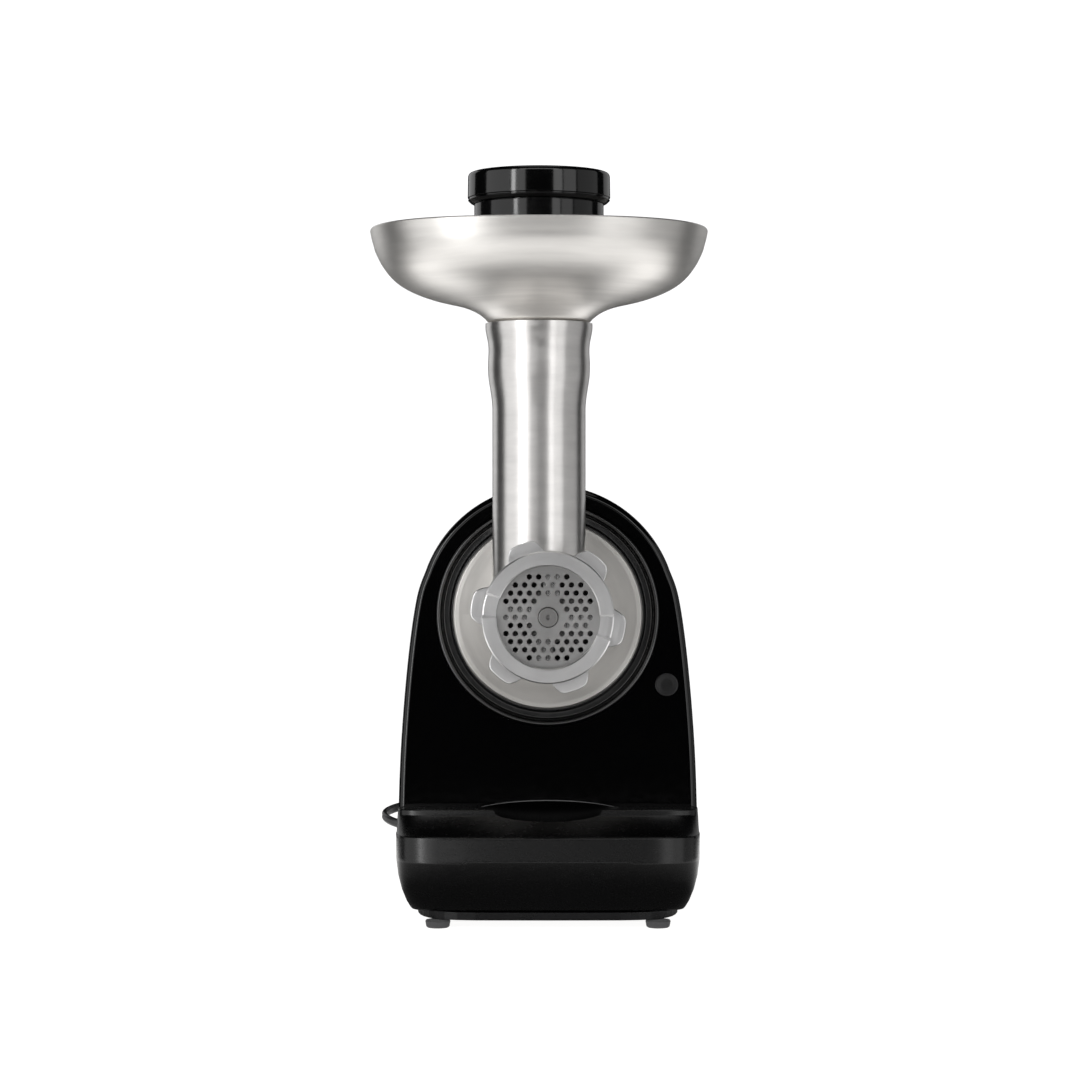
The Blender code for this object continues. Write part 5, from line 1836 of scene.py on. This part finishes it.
    def plate(self) -> None:
        """The ground plate, with every hole of its triangular grid."""
        holes = [circle(self.pin_radius + GAP, 48)]
        nearest, furthest = self.hole_band
        for row in range(-5, 6):
            shift = 0.5 if row % 2 == 0 else 0.0
            for column in range(-6, 6):
                x = (column + shift) * self.plate_pitch
                z = row * self.plate_pitch * math.sin(math.pi / 3)
                if nearest < math.hypot(x, z) / self.plate_pitch < furthest:
                    holes.append(circle(self.plate_hole, 20, (x, z)))
        middle = self.places.on_head(self.barrel_ahead - self.plate_thick / 2)
        obj = flat_shape("ground_plate", [circle(self.plate_radius, 128), *holes],
                         self.plate_thick, PLATE_STEEL, middle, FORWARD, 0.00014)
        settle(obj, "head", PLATE_STEEL, "die_plate")

    def screw(self) -> None:
        """The feed screw, with its shank, square and centre pin."""
        sections, sides = 64, 64
        rings = []
        for i in range(sections):
            share = i / (sections - 1)
            reach = (self.screw_end - self.screw_start) * share
            root = self.root + self.root_growth * share
            turn = math.tau * reach / self.screw_pitch
            ring = []
            for k in range(sides):
                angle = math.tau * k / sides
                radius = root + (self.flight - root) * max(0.0, math.cos(angle)) ** 6
                ring.append((radius * math.cos(angle + turn), radius * math.sin(angle + turn),
                             self.screw_start + reach))
            rings.append(ring)
        bm = skinned(rings)
        tip = self.places.panel_y - Room.of("auger").low.y
        pin, shank, collar, square = self.pin_radius, 0.0069, 0.0119, 0.0052
        profile = softened([
            (0, -0.0215, 0), (0.0062, -0.0215, 0.0004), (0.0066, -0.0040, 0),
            (shank, -0.0038, 0), (shank, 0.0060, 0.0004), (collar, 0.0061, 0),
            (collar, 0.0071, 0), (square, 0.0075, 0), (square, 0.0530, 0), (pin, 0.0534, 0),
            (pin, tip, 0.0004), (0.0013, tip, 0.0001), (0.0003, tip - 0.0010, 0),
            (0, tip - 0.0010, 0)])
        merge(bm, lathe(profile, 64))
        obj = piece("feed_screw", bm, SCREW_STEEL, self.places.on_head(), FORWARD)
        settle(obj, "drive", SCREW_STEEL, "auger")


# ---------------------------------------------------------------- tray and pusher

@dataclass
class FeedTray:
    """The spun steel tray on the feed tube."""

    places: Places
    neck: tuple[Point, ...] = ((0.0232, 0.2780), (0.0232, 0.2955))
    bowl: tuple[Point, ...] = (
        (0.0238, 0.2966), (0.0255, 0.2975), (0.0269, 0.2990), (0.0312, 0.3020),
        (0.0384, 0.3049), (0.0506, 0.3079), (0.0593, 0.3108), (0.0657, 0.3138),
        (0.0701, 0.3167), (0.0733, 0.3197), (0.0756, 0.3226), (0.0776, 0.3256),
        (0.0791, 0.3285), (0.0804, 0.3315), (0.0812, 0.3344), (0.0820, 0.3373),
        (0.0826, 0.3404),
    )
    depth_share: float = 0.0820 / 0.0826
    sheet: float = 0.0012
    round_radius: float = 0.030
    power: float = 2.5
    sides: int = 160

    def ring(self, radius: float, z: float) -> list[Place]:
        """A level loop of the tray, round at its neck and squarer towards its rim.

        Args:
            radius: Half its width.
            z: Its height.

        Returns:
            Its points.
        """
        rim = self.bowl[-1][0]
        share = min(1.0, max(0.0, (radius - self.round_radius) / (rim - self.round_radius)))
        power = 2.0 + (self.power - 2.0) * share
        depth = radius * (1 - share * (1 - self.depth_share))
        return [(x, y, z) for x, y in oval(2 * radius, 2 * depth, self.sides, power)]

    def build(self) -> None:
        """Make the tray, its rim rounded over."""
        outer = [*self.neck, *through(self.bowl, 3)]
        inner = []
        for i, here in enumerate(outer):
            before, after = outer[max(0, i - 1)], outer[min(len(outer) - 1, i + 1)]
            along = (Vector(after) - Vector(before)).normalized()
            inner.append(Vector(here) + self.sheet * Vector((-along.y, along.x)))
        rim_out, rim_in = Vector(outer[-1]), inner[-1]
        top = Room.of("feed_tray").high.z
        rim = []
        for i in range(1, 6):
            angle = math.pi * i / 6
            middle = (rim_out + rim_in) / 2
            rim.append((middle.x + (rim_out.x - rim_in.x) / 2 * math.cos(angle),
                        rim_out.y + (top - rim_out.y) * math.sin(angle)))
        profile = [*outer, *rim, *[(point.x, point.y) for point in reversed(inner)]]
        bm = skinned([self.ring(r, z) for r, z in profile], loop=True)
        obj = piece("spun_feed_tray", bm, TRAY_STEEL, (self.places.feed_x, self.places.feed_y, 0),
                    sharp=50)
        settle(obj, "tray", TRAY_STEEL, "feed_tray")


@dataclass
class Pusher:
    """The pusher: a hollow handle and stem, closed by a polished cap."""

    places: Places
    stem: float = 0.0209
    shoulder: float = 0.3046
    wall: float = 0.0022
    groove: float = 0.0004

    def build(self) -> None:
        """Make the handle and the cap."""
        self.handle()
        self.cap()

    def handle(self) -> None:
        """The hollow handle and stem, with a fine groove round the handle."""
        room = Room.of("pusher_body")
        wide, bottom, top = room.size.x / 2, room.low.z, room.high.z
        stem, shoulder, inside = self.stem, self.shoulder, wide - self.wall
        groove = wide - self.groove
        profile = [
            (0, bottom + 0.0020, 0), (stem - 0.0020, bottom + 0.0020, 0),
            (stem - 0.0020, shoulder + self.wall, 0), (inside, shoulder + self.wall, 0),
            (inside, top, 0), (wide, top, 0.0002),
            (wide, shoulder + 0.0262, 0), (groove, shoulder + 0.0259, 0),
            (groove, shoulder + 0.0253, 0), (wide, shoulder + 0.0250, 0),
            (wide, shoulder, 0.0014), (stem + 0.0006, shoulder, 0.0004),
            (stem, shoulder - 0.0012, 0), (stem, bottom, 0.0016),
            (stem - 0.0030, bottom, 0.0004), (stem - 0.0036, bottom + 0.0006, 0.0004),
            (0, bottom + 0.0006, 0),
        ]
        obj = turned("pusher_handle", profile, 112, HANDLE_BLACK,
                     (self.places.feed_x, self.places.feed_y, 0))
        settle(obj, "pusher", HANDLE_BLACK, "pusher_body")

    def cap(self) -> None:
        """The polished cap, faintly dished on top and grooved above its lower edge."""
        room, handle = Room.of("pusher_cap"), Room.of("pusher_body")
        wide, top, bottom = room.size.x / 2, room.high.z, room.low.z
        neck, seat = handle.size.x / 2, handle.high.z + GAP
        spigot, roof = neck - self.wall - GAP, top - 0.0032
        profile = [
            (0, top - 0.0009, 0), (wide - 0.0105, top - 0.0007, 0.004),
            (wide - 0.0050, top, 0.0012), (wide - 0.0002, top, 0.0024),
            (wide, seat + 0.0030, 0.0002), (wide - 0.0005, seat + 0.0026, 0.0002),
            (wide - 0.0005, seat + 0.0022, 0.0002), (wide - 0.0001, seat + 0.0018, 0.0003),
            (wide - 0.0016, seat + 0.0004, 0.0004), (neck + 0.0002, seat, 0.0002),
            (spigot, seat, 0), (spigot, bottom, 0.0003), (spigot - 0.0020, bottom, 0),
            (spigot - 0.0020, roof, 0), (0, roof, 0),
        ]
        obj = turned("polished_cap", profile, 144, CAP_BLACK,
                     (self.places.feed_x, self.places.feed_y, 0))
        settle(obj, "pusher", CAP_BLACK, "pusher_cap")


# ---------------------------------------------------------------- switch and inner works

@dataclass
class PowerSwitch:
    """The rocker switch in the body's right side."""

    lip_ends: float = 0.0020
    lip_sides: float = 0.0030
    depth: float = 0.0040
    dish: float = 0.0007
    bevel: float = 0.0008
    stations: int = 17

    def build(self) -> None:
        """Make the switch's frame and its rocker."""
        self.frame()
        self.rocker()

    def frame(self) -> None:
        """The switch's body, with a thin rounded lip round its window."""
        room = Room.of("switch_body")
        centre, size = room.centre, room.size
        obj = slab(size, centre, 0.0006)
        obj.name = "switch_frame"
        obj.data.materials.append(CASE_BLACK.material())
        window = slab((size.x, size.y - 2 * self.lip_ends, size.z - 2 * self.lip_sides),
                      (centre.x + self.depth, centre.y, centre.z), 0.0008)
        cut(obj, [window])
        settle(obj, "housing", CASE_BLACK, "switch_body")

    def rocker(self) -> None:
        """The rocker: two gently dished halves that meet in a ridge."""
        room = Room.of("rocker_switch")
        back, half = -room.size.x / 2, room.size.z / 2
        rings = []
        for i in range(self.stations):
            share = 2 * i / (self.stations - 1) - 1
            face = room.size.x / 2 - self.dish * (1 - (2 * abs(share) - 1) ** 2)
            y = share * room.size.y / 2
            rings.append([
                (back, y, -half), (face - 0.0006, y, -half), (face, y, -half + self.bevel),
                (face - 0.0001, y, 0), (face, y, half - self.bevel), (face - 0.0006, y, half),
                (back, y, half)])
        obj = piece("dished_rocker", skinned(rings), HANDLE_BLACK, room.centre, sharp=40)
        settle(obj, "rocker", HANDLE_BLACK, "rocker_switch")


@dataclass
class InnerWorks:
    """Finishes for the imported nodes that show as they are, mostly inside the body."""

    finishes: dict[str, Finish] = field(default_factory=lambda: {
        "inner_deck": CASE_BLACK, "base_plate": CASE_BLACK,
        "base_screw_1": SHAFT_STEEL, "base_screw_2": SHAFT_STEEL,
        "base_screw_3": SHAFT_STEEL, "base_screw_4": SHAFT_STEEL,
        "gearbox_case": CAST_ALUMINIUM, "gearbox_cover": CAST_ALUMINIUM, "output_bush": BRASS,
        "first_gear_shaft": SHAFT_STEEL, "second_gear_shaft": SHAFT_STEEL,
        "motor_stator": LAMINATIONS, "field_coil_left": WINDING, "field_coil_right": WINDING,
        "carbon_brush_left": CARBON, "carbon_brush_right": CARBON, "motor_cradle": GREY_RUBBER,
        "motor_bracket": CAST_ALUMINIUM, "motor_bearing_front": SHAFT_STEEL,
        "motor_bearing_rear": SHAFT_STEEL, "auger_bush": NYLON, "output_gear": HARD_STEEL,
        "output_shaft": SHAFT_STEEL, "cutting_knife": CUTTER_STEEL, "second_gear": NYLON,
        "first_gear": NYLON, "motor_shaft": SHAFT_STEEL, "rotor_core": LAMINATIONS,
        "commutator": WINDING, "cooling_fan": CASE_BLACK, "latch_lever": SHAFT_STEEL,
        "button_spring": SHAFT_STEEL,
    })

    def dress(self, nodes: dict[str, Piece]) -> None:
        """Give every node that still shows its own finish.

        Args:
            nodes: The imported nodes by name.
        """
        for name, finish in self.finishes.items():
            node = nodes[name]
            node.data.materials.clear()
            node.data.materials.append(finish.material())
        bare = [name for name, node in nodes.items()
                if not node.hide_render and name not in self.finishes]
        LOG.info("%d inner nodes dressed, %d left bare: %s", len(self.finishes), len(bare), bare)


def corners() -> list[list[float]]:
    """The shown model's lowest and highest corners as plain lists."""
    return [[round(value, 6) for value in corner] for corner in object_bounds()]


def main() -> None:
    """Build the looks in order: studio and cord first, then the body outward."""
    logging.basicConfig(level=logging.INFO, format="%(message)s")
    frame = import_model()
    places = Places.read()
    Studio(places).build()
    MainsCord(places).build()
    body = Body(places)
    body.build()
    AccessoryDrawer(places, body).build()
    HeadSocket(places).build()
    GrindingHead(places).build()
    FeedTray(places).build()
    Pusher(places).build()
    PowerSwitch().build()
    InnerWorks().dress(frame["nodes"])


if __name__ == "__main__":
    main()
